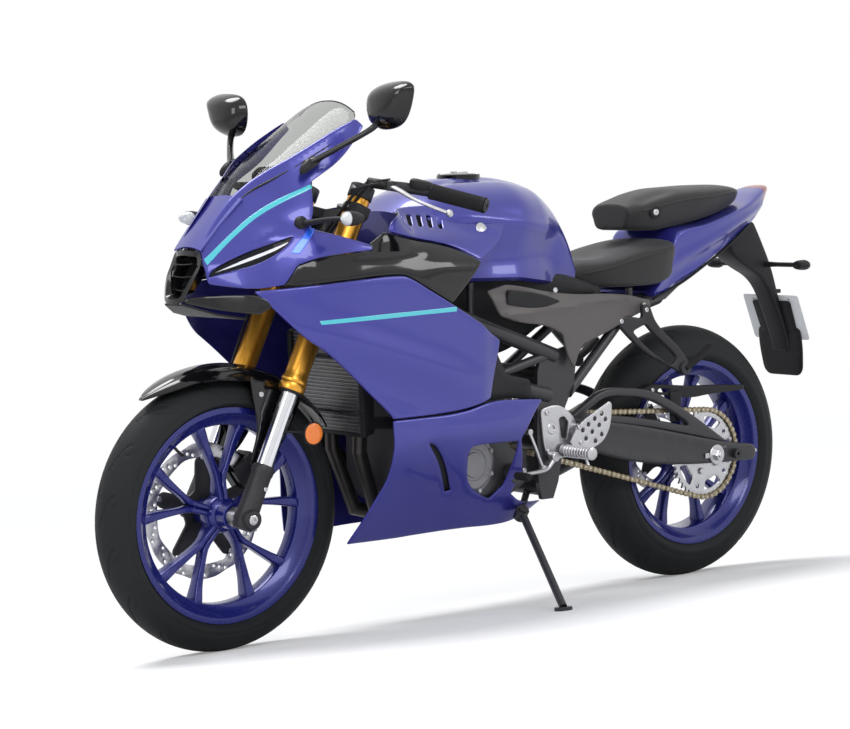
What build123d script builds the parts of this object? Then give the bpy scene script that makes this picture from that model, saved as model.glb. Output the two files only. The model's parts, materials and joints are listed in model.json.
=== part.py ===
from build123d import *
import json
import math
import os

# Sport bike with a full fairing, parked on its side stand.
#
# Everything is drawn upright in the bike's own frame, in millimetres: X forwards, Y to the rider's
# left, Z up, the ground at z = 0 and x = 0 half way between the axles. The last lines lean the whole
# bike to the left onto its side stand and put the origin at the bottom centre of the finished box.

# ------------------------------------------------------------------ chassis sizes
WHEELBASE = 1380.0
LEAN_ANGLE = 8.0
RAKE = 25.0
FORK_OFFSET = 37.7
FORK_HALF_SPACING = 100.0

# ------------------------------------------------------------------ wheels and tyres
FRONT_TYRE_RADIUS = 292.9
FRONT_TYRE_WIDTH = 110.0
REAR_TYRE_RADIUS = 313.9
REAR_TYRE_WIDTH = 140.0
BEAD_RADIUS = 218.0
FLANGE_RADIUS = 229.0
WELL_RADIUS = 196.0
RIM_WALL = 5.0
FRONT_RIM_WIDTH = 84.0
REAR_RIM_WIDTH = 116.0
HUB_RADIUS = 34.0
FRONT_HUB_WIDTH = 118.0
REAR_HUB_WIDTH = 150.0
SPOKE_COUNT = 5
SPOKE_DEPTH = 26.0
STEM_WIDTH = 34.0
PRONG_WIDTH = 19.0
SPLIT_RADIUS = 92.0
AXLE_RADIUS = 7.5
SHAFT_FIT = 0.1
SEAT_GAP = 0.3
TYRE_FIT = 0.3
TYRE_FACETS = 8
RUNNING_GAP = 6.0

# ------------------------------------------------------------------ brakes
FRONT_DISC_RADIUS = 149.0
REAR_DISC_RADIUS = 110.0
DISC_THICKNESS = 4.5
DISC_BAND = 32.0
DISC_CARRIER_ARMS = 5

# ------------------------------------------------------------------ chain drive
CHAIN_PITCH = 15.875
REAR_TEETH = 43
FRONT_TEETH = 14
CHAIN_LINE = 88.0
CHAIN_ROLLER_RADIUS = 5.1
CHAIN_PLATE_HEIGHT = 14.0
CHAIN_PLATE_GAP = 9.0
CHAIN_WIDTH = 17.0
SPROCKET_THICKNESS = 6.0
FRONT_SPROCKET_X = -45.0
FRONT_SPROCKET_Z = 420.0
SWINGARM_PIVOT_TUBE = 17.0
SPROCKET_SHAFT_RADIUS = 8.0

# ------------------------------------------------------------------ fork
STANCHION_RADIUS = 18.5
OUTER_TUBE_RADIUS = 25.0
FORK_FOOT_RADIUS = 24.0
FORK_FOOT_TOP = 118.0
OUTER_TUBE_BOTTOM = 284.0
OUTER_TUBE_TOP = 728.0
LOWER_YOKE_BOTTOM = 520.0
LOWER_YOKE_HEIGHT = 32.0
UPPER_YOKE_BOTTOM = 690.0
UPPER_YOKE_HEIGHT = 22.0
YOKE_WALL = 5.0
STEM_RADIUS = 14.0
STEM_BORE = 8.0
STEM_BORE_DEPTH = 45.0
HEAD_TUBE_RADIUS = 31.0
HEAD_TUBE_BORE = 24.0
BEARING_GAP = 0.5

# ------------------------------------------------------------------ frame tubes and swingarm
MAIN_TUBE_RADIUS = 17.5
BRACE_TUBE_RADIUS = 11.0
RAIL_TUBE_RADIUS = 12.5
PIVOT_X = -120.0
PIVOT_Z = 424.0
PIVOT_RADIUS = 9.0
FRAME_PLATE_Y = 138.0
FRAME_PLATE_THICKNESS = 12.0
MOUNT_RADIUS = 8.0
TANK_FLOOR = 765.0
SEAT_FLOOR = 734.0
FAIRING_WALL_Y = 230.0
SWINGARM_INNER_Y = 102.0
SWINGARM_OUTER_Y = 130.0

# ------------------------------------------------------------------ body panels
PANEL_WALL = 4.0
PANEL_SEAM = 1.0
WHEEL_ARCH_GAP = 14.0

# ------------------------------------------------------------------ side stand
STAND_PIVOT = (-36.0, 146.0, 238.0)
STAND_FOOT = (24.0, 350.0)
STAND_FOLDED_FOOT = (-322.0, 172.0, 262.0)
STAND_LEG_RADIUS = 9.0
STAND_PAD_RADIUS = 20.0
STAND_PAD_THICKNESS = 8.0

FRONT_AXLE = (WHEELBASE / 2, FRONT_TYRE_RADIUS)
REAR_AXLE = (-WHEELBASE / 2, REAR_TYRE_RADIUS)
RAKE_SIN = math.sin(math.radians(RAKE))
RAKE_COS = math.cos(math.radians(RAKE))
LEAN_SIN = math.sin(math.radians(LEAN_ANGLE))
LEAN_COS = math.cos(math.radians(LEAN_ANGLE))

os.makedirs("parts", exist_ok=True)
nodes = {}


# ------------------------------------------------------------------ drawing helpers
def slab(outline, y_low, y_high):
    """A prism over an outline of (x, z) points, from one y to another."""
    wire = Wire.make_polygon([Vector(x, y_low, z) for x, z in outline], close=True)
    return Solid.extrude(Face(wire), Vector(0, y_high - y_low, 0))


def rod(start, end, radius):
    """A straight round bar between two points."""
    a = Vector(*start)
    b = Vector(*end)
    place = Plane(origin=a, z_dir=b - a)
    return place * Cylinder(radius, (b - a).length, align=(Align.CENTER, Align.CENTER, Align.MIN))


def square_bar(start, end, size):
    """A straight square bar between two points, run on by half its size at each end."""
    a = Vector(*start)
    b = Vector(*end)
    place = Plane(origin=(a + b) / 2, z_dir=b - a)
    return place * Box(size, size, (b - a).length + size)


def tube_run(points, radius):
    """Round tubing through several points, mitred at its corners."""
    a = Vector(*points[0])
    b = Vector(*points[1])
    path = Wire.make_polygon([Vector(*p) for p in points], close=False)
    section = Face(Wire.make_circle(radius, Plane(origin=a, z_dir=b - a)))
    return Solid.sweep(section, path, transition=Transition.RIGHT)


def ring(profile, centre):
    """A turned part about a wheel's axle from (radius, y) points."""
    x, z = centre
    wire = Wire.make_polygon([Vector(x + r, y, z) for r, y in profile], close=True)
    return revolve(Face(wire), Axis((x, 0, z), (0, 1, 0)), 360)


def disc(centre, radius, y_low, y_high):
    """A round plate square to Y."""
    return rod((centre[0], y_low, centre[1]), (centre[0], y_high, centre[1]), radius)


def polar(centre, radius, angle):
    """The (x, z) point at a radius and angle, in degrees from forwards, about a centre."""
    a = math.radians(angle)
    return centre[0] + radius * math.cos(a), centre[1] + radius * math.sin(a)


def left_and_right(shape):
    """The shape and its mirror image on the other side of the bike."""
    return Compound([*shape.solids(), *mirror(shape, Plane.XZ).solids()])


def fork_point(along, forwards, y):
    """A point beside the fork: up its line from the axle, forwards of it, and across."""
    x = FRONT_AXLE[0] - along * RAKE_SIN + forwards * RAKE_COS
    z = FRONT_AXLE[1] + along * RAKE_COS + forwards * RAKE_SIN
    return x, y, z


def fork_slab(outline, along, height):
    """A plate square to the fork from (forwards, y) points."""
    wire = Wire.make_polygon([Vector(*fork_point(along, f, y)) for f, y in outline], close=True)
    top = Vector(*fork_point(along + height, 0, 0)) - Vector(*fork_point(along, 0, 0))
    return Solid.extrude(Face(wire), top)


def section_loft(stations):
    """A ruled body through (x, half outline of (y, z) points) sections, mirrored about y = 0."""
    wires = []
    for x, half in stations:
        points = [Vector(x, y, z) for y, z in half]
        points += [Vector(x, -y, z) for y, z in reversed(half)]
        wires.append(Wire.make_polygon(points, close=True))
    return Solid.make_loft(wires, ruled=True)


def crowned_loft(stations):
    """A ruled body of domed sections: x, low z, low half width, wide z, half width, top z."""
    wires = []
    for x, z_low, y_low, z_wide, y_wide, z_top in stations:
        low_l = Vector(x, y_low, z_low)
        low_r = Vector(x, -y_low, z_low)
        wide_l = Vector(x, y_wide, z_wide)
        wide_r = Vector(x, -y_wide, z_wide)
        dome = Edge.make_three_point_arc(wide_l, Vector(x, 0, z_top), wide_r)
        sides = [Edge.make_line(low_l, wide_l), dome, Edge.make_line(wide_r, low_r)]
        wires.append(Wire([*sides, Edge.make_line(low_r, low_l)]))
    return Solid.make_loft(wires, ruled=True)


# ------------------------------------------------------------------ wheels
def tyre(centre, radius, width, rim_width):
    """A tyre: a round crown in straight facets, necked in to sit between the rim's flanges."""
    crown = width / 2
    middle = radius - crown
    outside = [(middle + crown * math.cos(math.radians(a)), crown * math.sin(math.radians(a)))
               for a in (-90 + i * 180 / TYRE_FACETS for i in range(TYRE_FACETS + 1))]
    bead = rim_width / 2 - RIM_WALL - 1
    foot = BEAD_RADIUS + TYRE_FIT
    neck = FLANGE_RADIUS + 1.5
    return ring([(foot, -bead), (neck, -bead), *outside, (neck, bead), (foot, bead)], centre)


def rim_barrel(centre, width):
    """A cast rim's barrel: two flanges, bead seats and the drop well."""
    half = width / 2
    outer = [(FLANGE_RADIUS, half), (FLANGE_RADIUS, half - RIM_WALL), (BEAD_RADIUS, half - RIM_WALL - 1)]
    outer += [(BEAD_RADIUS - 2, half - 18), (WELL_RADIUS, half - 26)]
    inner = [(WELL_RADIUS - RIM_WALL, half - 27), (BEAD_RADIUS - RIM_WALL - 3, half - 14)]
    inner += [(FLANGE_RADIUS - 12, half)]
    section = outer + [(r, -y) for r, y in reversed(outer)]
    section += [(r, -y) for r, y in reversed(inner)] + inner
    return ring(section, centre)


def y_spoke(centre, angle, depth):
    """One cast arm: a stem from the hub that forks into two prongs at the rim."""
    spread = 360 / SPOKE_COUNT / 4
    reach = WELL_RADIUS - RIM_WALL / 2
    stem = math.degrees(STEM_WIDTH / 2 / HUB_RADIUS)
    crotch = SPLIT_RADIUS + 18
    half = math.degrees(PRONG_WIDTH / 2 / reach)
    waist = math.degrees(STEM_WIDTH / 2 / SPLIT_RADIUS)
    left = [(HUB_RADIUS - 3, stem), (SPLIT_RADIUS, waist), (reach, spread + half), (reach, spread - half)]
    outline = [polar(centre, r, angle + a) for r, a in left]
    outline += [polar(centre, crotch, angle)]
    outline += [polar(centre, r, angle - a) for r, a in reversed(left)]
    return slab(outline, -depth / 2, depth / 2)


def cast_wheel(centre, width, hub_width):
    """A five-arm cast wheel with its hub bored for the axle."""
    wheel = rim_barrel(centre, width)
    for i in range(SPOKE_COUNT):
        wheel += y_spoke(centre, 90 + i * 360 / SPOKE_COUNT, SPOKE_DEPTH)
    wheel += disc(centre, HUB_RADIUS, -hub_width / 2, hub_width / 2)
    return wheel - disc(centre, AXLE_RADIUS + SHAFT_FIT, -hub_width, hub_width)


def brake_disc(centre, radius, y_low):
    """A brake band on a carrier of short arms around the hub."""
    band = disc(centre, radius, y_low, y_low + DISC_THICKNESS)
    band -= disc(centre, radius - DISC_BAND, y_low - 1, y_low + DISC_THICKNESS + 1)
    boss = disc(centre, HUB_RADIUS + 14, y_low, y_low + DISC_THICKNESS)
    for i in range(DISC_CARRIER_ARMS):
        angle = 18 + i * 360 / DISC_CARRIER_ARMS
        root = math.degrees(16 / (HUB_RADIUS + 14))
        tip = math.degrees(8 / (radius - DISC_BAND))
        arm = [polar(centre, HUB_RADIUS + 8, angle - root), polar(centre, radius - DISC_BAND + 4, angle - tip)]
        arm += [polar(centre, radius - DISC_BAND + 4, angle + tip), polar(centre, HUB_RADIUS + 8, angle + root)]
        boss += slab(arm, y_low, y_low + DISC_THICKNESS)
    band += boss
    return band - disc(centre, AXLE_RADIUS + SHAFT_FIT + 6, y_low - 1, y_low + DISC_THICKNESS + 1)


def chain_wheel(centre, teeth, bore):
    """A toothed sprocket for the chain, its flanks straight between root and tip."""
    pitch_radius = CHAIN_PITCH / 2 / math.sin(math.pi / teeth)
    root = pitch_radius - CHAIN_ROLLER_RADIUS
    tip = pitch_radius + CHAIN_ROLLER_RADIUS - 1
    outline = []
    for i in range(teeth):
        a = i * 360 / teeth
        step = 360 / teeth
        outline += [polar(centre, root, a - step * 0.2), polar(centre, root, a + step * 0.2)]
        outline += [polar(centre, tip, a + step * 0.5)]
    y_low = CHAIN_LINE - SPROCKET_THICKNESS / 2
    wheel = slab(outline, y_low, y_low + SPROCKET_THICKNESS)
    wheel -= disc(centre, bore, y_low - 1, y_low + SPROCKET_THICKNESS + 1)
    return wheel


DISC_INNER_Y = FRONT_HUB_WIDTH / 2
nodes["front_tyre"] = tyre(FRONT_AXLE, FRONT_TYRE_RADIUS, FRONT_TYRE_WIDTH, FRONT_RIM_WIDTH)
nodes["rear_tyre"] = tyre(REAR_AXLE, REAR_TYRE_RADIUS, REAR_TYRE_WIDTH, REAR_RIM_WIDTH)
nodes["front_wheel_rim"] = cast_wheel(FRONT_AXLE, FRONT_RIM_WIDTH, FRONT_HUB_WIDTH)
nodes["rear_wheel_rim"] = cast_wheel(REAR_AXLE, REAR_RIM_WIDTH, REAR_HUB_WIDTH)
nodes["front_brake_disc"] = brake_disc(FRONT_AXLE, FRONT_DISC_RADIUS, -DISC_INNER_Y - DISC_THICKNESS)
nodes["rear_brake_disc"] = brake_disc(REAR_AXLE, REAR_DISC_RADIUS, -REAR_HUB_WIDTH / 2 - DISC_THICKNESS)


# ------------------------------------------------------------------ chain drive
def drive_chain():
    """The chain as one closed loop: a pair of side plates' outlines joined by the rollers of its runs."""
    big = CHAIN_PITCH / 2 / math.sin(math.pi / REAR_TEETH)
    small = CHAIN_PITCH / 2 / math.sin(math.pi / FRONT_TEETH)
    front = (FRONT_SPROCKET_X, FRONT_SPROCKET_Z)
    span = math.hypot(front[0] - REAR_AXLE[0], front[1] - REAR_AXLE[1])
    slope = math.degrees(math.atan2(front[1] - REAR_AXLE[1], front[0] - REAR_AXLE[0]))
    flare = math.degrees(math.asin((big - small) / span))
    upper = slope + 90 - flare
    lower = slope - 90 + flare
    wrap = [upper + i * (360 - upper + lower) / 12 for i in range(13)]
    nose = [lower + i * (upper - lower) / 6 for i in range(7)]

    def loop(grow):
        points = [polar(REAR_AXLE, big + grow, a) for a in wrap]
        return points + [polar(front, small + grow, a) for a in nose]

    half = CHAIN_PLATE_HEIGHT / 2
    shape = None
    for y_low in (CHAIN_LINE - CHAIN_WIDTH / 2, CHAIN_LINE + CHAIN_PLATE_GAP / 2):
        side = slab(loop(half), y_low, y_low + (CHAIN_WIDTH - CHAIN_PLATE_GAP) / 2)
        side -= slab(loop(-half), y_low - 1, y_low + CHAIN_WIDTH)
        shape = side if shape is None else shape + side
    rollers = int(span / CHAIN_PITCH / 4)
    for angle in (upper, lower):
        start = polar(REAR_AXLE, big, angle)
        end = polar(front, small, angle)
        for i in range(1, rollers):
            t = i / rollers
            x = start[0] + (end[0] - start[0]) * t
            z = start[1] + (end[1] - start[1]) * t
            shape += disc((x, z), CHAIN_ROLLER_RADIUS, CHAIN_LINE - CHAIN_PLATE_GAP, CHAIN_LINE + CHAIN_PLATE_GAP)
    return shape


CUSH_DRIVE_RADIUS = 54.0
rear_sprocket = chain_wheel(REAR_AXLE, REAR_TEETH, HUB_RADIUS)
rear_sprocket += disc(REAR_AXLE, CUSH_DRIVE_RADIUS, REAR_HUB_WIDTH / 2, CHAIN_LINE - SPROCKET_THICKNESS / 2)
nodes["rear_sprocket"] = rear_sprocket - disc(REAR_AXLE, AXLE_RADIUS + SHAFT_FIT, 0, CHAIN_LINE)
front_sprocket = chain_wheel((FRONT_SPROCKET_X, FRONT_SPROCKET_Z), FRONT_TEETH, SPROCKET_SHAFT_RADIUS)
nodes["drive_chain"] = Compound([*drive_chain().solids(), *front_sprocket.solids()])

# ------------------------------------------------------------------ fork, yokes and front axle
fork_lowers = rod(fork_point(-22, 0, FORK_HALF_SPACING), fork_point(FORK_FOOT_TOP, 0, FORK_HALF_SPACING),
                  FORK_FOOT_RADIUS)
fork_lowers += rod(fork_point(FORK_FOOT_TOP, 0, FORK_HALF_SPACING),
                   fork_point(OUTER_TUBE_BOTTOM + 12, 0, FORK_HALF_SPACING), STANCHION_RADIUS)
AXLE_END = FORK_HALF_SPACING + FORK_FOOT_RADIUS + 6
SPACER_RADIUS = 12.0
spacer = disc(FRONT_AXLE, SPACER_RADIUS, FRONT_HUB_WIDTH / 2 + SEAT_GAP, FORK_HALF_SPACING)
fork_lowers += spacer
fork_lowers += mirror(fork_lowers, Plane.XZ)
nodes["fork_lowers"] = fork_lowers + disc(FRONT_AXLE, AXLE_RADIUS, -AXLE_END, AXLE_END)

outer_tube = rod(fork_point(OUTER_TUBE_BOTTOM, 0, FORK_HALF_SPACING),
                 fork_point(OUTER_TUBE_TOP, 0, FORK_HALF_SPACING), OUTER_TUBE_RADIUS)
outer_tube += rod(fork_point(OUTER_TUBE_BOTTOM, 0, FORK_HALF_SPACING),
                  fork_point(OUTER_TUBE_BOTTOM + 26, 0, FORK_HALF_SPACING), OUTER_TUBE_RADIUS + 3)
outer_tube -= rod(fork_point(OUTER_TUBE_BOTTOM - 1, 0, FORK_HALF_SPACING),
                  fork_point(OUTER_TUBE_BOTTOM + 12, 0, FORK_HALF_SPACING), STANCHION_RADIUS)
nodes["fork_tubes"] = left_and_right(outer_tube)


def yoke(along, height, nose):
    """A triple clamp: a web around the steering stem out to a ring on each fork tube."""
    ring_x = OUTER_TUBE_RADIUS + YOKE_WALL
    outline = [(nose, 30), (18, FORK_HALF_SPACING - 24), (ring_x, FORK_HALF_SPACING), (18, FORK_HALF_SPACING + 30)]
    outline += [(-18, FORK_HALF_SPACING + 30), (-ring_x - 4, FORK_HALF_SPACING), (-FORK_OFFSET - 20, 52)]
    outline += [(-FORK_OFFSET - 34, 24)]
    full = outline + [(f, -y) for f, y in reversed(outline)]
    plate = fork_slab(full, along, height)
    for y in (-FORK_HALF_SPACING, FORK_HALF_SPACING):
        plate -= rod(fork_point(along - 1, 0, y), fork_point(along + height + 1, 0, y), OUTER_TUBE_RADIUS)
    return plate


stem = rod(fork_point(LOWER_YOKE_BOTTOM, -FORK_OFFSET, 0),
           fork_point(UPPER_YOKE_BOTTOM + UPPER_YOKE_HEIGHT + 12, -FORK_OFFSET, 0), STEM_RADIUS)
yokes = yoke(LOWER_YOKE_BOTTOM, LOWER_YOKE_HEIGHT, -8) + stem
yokes += yoke(UPPER_YOKE_BOTTOM, UPPER_YOKE_HEIGHT, -14)
nodes["yokes"] = yokes - rod(fork_point(LOWER_YOKE_BOTTOM - 1, -FORK_OFFSET, 0),
                             fork_point(LOWER_YOKE_BOTTOM + STEM_BORE_DEPTH, -FORK_OFFSET, 0), STEM_BORE)

# ------------------------------------------------------------------ handlebars and levers
CLAMP_TOP = OUTER_TUBE_TOP + 30
BAR_START = (362, 116, 988)
GRIP_START = (296, 240, 968)
GRIP_END = (230, 345, 936)
BAR_RADIUS = 11
GRIP_RADIUS = 17
clip_on = rod(fork_point(OUTER_TUBE_TOP, 0, FORK_HALF_SPACING), fork_point(CLAMP_TOP, 0, FORK_HALF_SPACING), 27)
clip_on += rod(BAR_START, GRIP_START, BAR_RADIUS)
clip_on += rod(GRIP_START, GRIP_END, GRIP_RADIUS)
nodes["handlebars"] = left_and_right(clip_on - outer_tube)

LEVER_PIVOT = (366, 190, 981)
LEVER_KNEE = (352, 262, 950)
LEVER_TIP = (322, 332, 922)
PERCH_ROOT = (318, 198, 975)
PERCH_RADIUS = 10
LEVER_RADIUS = 6
perch = rod(PERCH_ROOT, LEVER_PIVOT, PERCH_RADIUS)
blade = tube_run([LEVER_PIVOT, LEVER_KNEE, LEVER_TIP], LEVER_RADIUS)
blade += Pos(*LEVER_TIP) * Sphere(LEVER_RADIUS + 2)
perch += Pos(*LEVER_PIVOT) * Cylinder(PERCH_RADIUS - 1, 2 * PERCH_RADIUS)
nodes["levers"] = left_and_right(perch + blade - clip_on)

# ------------------------------------------------------------------ front fender
FENDER_RADIUS = 320.0
FENDER_HALF_WIDTH = 66.0
FENDER_SKIRT = 288.0
FENDER_WALL = 3.0
FENDER_FRONT_ANGLE = 52.0
FENDER_REAR_ANGLE = 146.0


def fender_section(grow):
    """The fender's (radius, y) cross section: a low crown with a skirt down each side."""
    half = [(FENDER_SKIRT, FENDER_HALF_WIDTH + grow), (FENDER_RADIUS - 14, FENDER_HALF_WIDTH + grow - 4)]
    half += [(FENDER_RADIUS - 4 + grow, FENDER_HALF_WIDTH - 22), (FENDER_RADIUS + grow, 12)]
    return half + [(r, -y) for r, y in reversed(half)]


def front_fender():
    """A bent sheet over the tyre with a leg down to each fork foot."""
    outside = fender_section(0)
    inside = list(reversed(fender_section(-FENDER_WALL)))
    x, z = FRONT_AXLE
    section = Wire.make_polygon([Vector(x + r, y, z) for r, y in outside + inside], close=True)
    axle = Axis((x, 0, z), (0, -1, 0))
    sheet = revolve(Face(section), axle, FENDER_REAR_ANGLE - FENDER_FRONT_ANGLE)
    sheet = sheet.rotate(axle, FENDER_FRONT_ANGLE)
    leg = [polar(FRONT_AXLE, FENDER_SKIRT + 6, a) for a in (100, 124)]
    leg += [polar(FRONT_AXLE, 165, 128), polar(FRONT_AXLE, 110, 122), polar(FRONT_AXLE, 118, 108)]
    legs = slab(leg, FENDER_HALF_WIDTH + 3, FENDER_HALF_WIDTH + 6)
    hem = [polar(FRONT_AXLE, FENDER_SKIRT + 8, a) for a in (100, 108, 116, 124)]
    hem += [polar(FRONT_AXLE, FENDER_SKIRT, a) for a in (124, 116, 108, 100)]
    legs += slab(hem, FENDER_HALF_WIDTH - 1, FENDER_HALF_WIDTH + 6)
    for solid in left_and_right(legs).solids():
        sheet += solid
    return sheet


nodes["front_fender"] = front_fender()

# ------------------------------------------------------------------ front caliper and reflectors
caliper_outline = [polar(FRONT_AXLE, r, a) for r, a in ((104, 132), (104, 158), (160, 152), (166, 134))]
caliper = slab(caliper_outline, -DISC_INNER_Y - 34, -DISC_INNER_Y + 16)
caliper -= disc(FRONT_AXLE, FRONT_DISC_RADIUS + RUNNING_GAP, -DISC_INNER_Y - DISC_THICKNESS - 5, -DISC_INNER_Y + 5)
caliper_lug = [polar(FRONT_AXLE, r, a) for r, a in ((112, 114), (112, 132), (156, 134), (156, 114))]
caliper += slab(caliper_lug, -DISC_INNER_Y - 34, -FENDER_HALF_WIDTH - 6 - SEAT_GAP)
nodes["front_caliper"] = caliper - nodes["fork_lowers"]

REFLECTOR_AT = (217, -64, FORK_HALF_SPACING + 34)
reflector = rod(fork_point(*REFLECTOR_AT), fork_point(217, -64, FORK_HALF_SPACING + 42), 25)
bracket = rod(fork_point(196, 0, FORK_HALF_SPACING + STANCHION_RADIUS - 2), fork_point(*REFLECTOR_AT), 5)
nodes["fork_reflectors"] = left_and_right(reflector + bracket - nodes["fork_lowers"])

# ------------------------------------------------------------------ frame
HEAD_LOW = LOWER_YOKE_BOTTOM + LOWER_YOKE_HEIGHT + BEARING_GAP
HEAD_HIGH = UPPER_YOKE_BOTTOM - BEARING_GAP
PLATE_Y = FRAME_PLATE_Y + FRAME_PLATE_THICKNESS / 2
FRAME_TOP_ELBOW = (250, 142, 730)
FRAME_SIDE_NODE = (312, 146, 612)
BRACE_TOP_NODE = (60, 144, 665)
BRACE_LOW_NODE = (60, 144, 550)
TANK_POST_X = 100
TANK_POST_Y = 132
FRAME_PLATE = [(-84, 556), (-96, 592), (-190, 612), (-206, 596), (-196, 520), (-168, 470), (-166, 400),
               (-146, 300), (-130, 262), (-96, 262), (-86, 300), (-82, 400)]


def main_frame():
    """Diamond frame: head tube, an upper and a lower tube each side, braces and the pivot plates."""
    top_start = fork_point(HEAD_HIGH - 30, -FORK_OFFSET - 12, 18)
    low_start = fork_point(HEAD_LOW + 42, -FORK_OFFSET - 12, 18)
    upper = [top_start, FRAME_TOP_ELBOW, (-140, PLATE_Y, 590)]
    lower = [low_start, fork_point(HEAD_LOW + 24, -FORK_OFFSET - 88, 46), FRAME_SIDE_NODE, (-120, PLATE_Y, 500)]
    side = tube_run(upper, MAIN_TUBE_RADIUS)
    side += tube_run(lower, MAIN_TUBE_RADIUS)
    braces = [(FRAME_TOP_ELBOW, FRAME_SIDE_NODE), (FRAME_SIDE_NODE, BRACE_TOP_NODE),
              (BRACE_TOP_NODE, BRACE_LOW_NODE), (BRACE_LOW_NODE, (-110, PLATE_Y, 590))]
    for a, b in braces:
        side += rod(a, b, BRACE_TUBE_RADIUS)
    side += slab(FRAME_PLATE, FRAME_PLATE_Y, FRAME_PLATE_Y + FRAME_PLATE_THICKNESS)
    side += rod((TANK_POST_X, TANK_POST_Y, 680), (TANK_POST_X, TANK_POST_Y, TANK_FLOOR - SEAT_GAP), MOUNT_RADIUS)
    fairing_post_end = (FRAME_SIDE_NODE[0], FAIRING_WALL_Y - SEAT_GAP, FRAME_SIDE_NODE[2])
    side += rod(FRAME_SIDE_NODE, fairing_post_end, MOUNT_RADIUS)
    side -= disc((PIVOT_X, PIVOT_Z), PIVOT_RADIUS + SHAFT_FIT, FRAME_PLATE_Y - 5, FRAME_PLATE_Y + 30)
    frame = side + mirror(side, Plane.XZ)
    frame += rod(fork_point(HEAD_LOW, -FORK_OFFSET, 0), fork_point(HEAD_HIGH, -FORK_OFFSET, 0), HEAD_TUBE_RADIUS)
    frame += rod((-150, -PLATE_Y, 545), (-150, PLATE_Y, 545), MAIN_TUBE_RADIUS)
    frame += rod((-112, -PLATE_Y, 285), (-112, PLATE_Y, 285), MAIN_TUBE_RADIUS)
    bore = rod(fork_point(HEAD_LOW - 5, -FORK_OFFSET, 0), fork_point(HEAD_HIGH + 5, -FORK_OFFSET, 0), HEAD_TUBE_BORE)
    return frame - bore


nodes["frame"] = main_frame()


def seat_rails():
    """Two rails back to the tail, their lower stays and three cross tubes."""
    side = tube_run([(-192, PLATE_Y, 600), RAIL_KNEE, (-560, 76, 712), RAIL_END], RAIL_TUBE_RADIUS)
    side += rod((-180, PLATE_Y, 500), RAIL_KNEE, RAIL_TUBE_RADIUS)
    side -= slab(FRAME_PLATE, FRAME_PLATE_Y - 40, FRAME_PLATE_Y + 40)
    side += rod(RAIL_KNEE, (RAIL_KNEE[0], RAIL_KNEE[1], SEAT_FLOOR - SEAT_GAP), MOUNT_RADIUS)
    rails = side + mirror(side, Plane.XZ)
    for x, y, z in (RAIL_KNEE, (-560, 76, 712), (RAIL_END[0], TAIL_MOUNT_Y, RAIL_END[2])):
        rails += rod((x, -y, z), (x, y, z), RAIL_TUBE_RADIUS)
    return rails


RAIL_KNEE = (-425, 98, 686)
RAIL_END = (-820, 34, 852)
TAIL_MOUNT_Y = 59.6
nodes["seat_rails"] = seat_rails()

# ------------------------------------------------------------------ engine
ENGINE_HALF_WIDTH = 118.0
CRANKCASE_HALF_WIDTH = 128.0
ENGINE_SIDE = [(-72, 300), (-76, 470), (30, 512), (52, 640), (96, 672), (282, 612), (296, 560), (262, 440),
               (262, 300), (220, 270), (0, 266)]
CRANKCASE_SIDE = [(-70, 310), (-74, 460), (0, 490), (230, 420), (240, 320), (200, 276), (10, 276)]
STATOR_CENTRE = (112, 360)
CLUTCH_CENTRE = (100, 362)
engine = slab(ENGINE_SIDE, -ENGINE_HALF_WIDTH, ENGINE_HALF_WIDTH)
engine += slab(CRANKCASE_SIDE, -CRANKCASE_HALF_WIDTH, CRANKCASE_HALF_WIDTH)
COWL_STUD_AT = (50, 440)
COWL_STUD_END = 205.0
SPROCKET_POCKET_Y = CHAIN_LINE - CHAIN_WIDTH / 2 - 4
pocket = [(FRONT_SPROCKET_X + 50, FRONT_SPROCKET_Z - 52), (FRONT_SPROCKET_X + 50, FRONT_SPROCKET_Z + 52)]
pocket += [(-100, FRONT_SPROCKET_Z + 60), (-100, FRONT_SPROCKET_Z - 80)]
engine -= slab(pocket, SPROCKET_POCKET_Y, CRANKCASE_HALF_WIDTH + 5)
engine += disc((FRONT_SPROCKET_X, FRONT_SPROCKET_Z), SPROCKET_SHAFT_RADIUS, SPROCKET_POCKET_Y - 5,
               CHAIN_LINE + SPROCKET_THICKNESS)
cowl_stud = disc(COWL_STUD_AT, MOUNT_RADIUS - 2, CRANKCASE_HALF_WIDTH - 5, COWL_STUD_END)
engine += cowl_stud + mirror(cowl_stud, Plane.XZ)
nodes["engine"] = engine


def round_cover(centre, radius, y_low, depth):
    """A cast cover: a stepped dome on a flange."""
    profile = [(0, y_low), (radius, y_low), (radius, y_low + depth * 0.35), (radius * 0.86, y_low + depth * 0.45)]
    profile += [(radius * 0.78, y_low + depth * 0.9), (radius * 0.4, y_low + depth), (0, y_low + depth)]
    return ring(profile, centre)


stator_cover = round_cover(STATOR_CENTRE, 72, CRANKCASE_HALF_WIDTH, 28)
clutch_cover = mirror(round_cover(CLUTCH_CENTRE, 76, CRANKCASE_HALF_WIDTH, 26), Plane.XZ)
nodes["engine_covers"] = Compound([*stator_cover.solids(), *clutch_cover.solids()])

# ------------------------------------------------------------------ exhaust
SILENCER_START = (-236, -150, 264)
SILENCER_END = (-640, -204, 384)
HEADER_RADIUS = 16
COLLECTOR_RADIUS = 19
BELLY_PIPE_Z = 240
header = tube_run([(280, 55, 575), (350, 55, 520), (352, 50, 400), (300, 40, 262), (220, 14, BELLY_PIPE_Z)],
                  HEADER_RADIUS)
headers = header + mirror(header, Plane.XZ)
headers += tube_run([(228, 0, BELLY_PIPE_Z), (60, -20, BELLY_PIPE_Z), (-160, -60, BELLY_PIPE_Z), SILENCER_START],
                    COLLECTOR_RADIUS)
nodes["exhaust_headers"] = headers - nodes["engine"]


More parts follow.
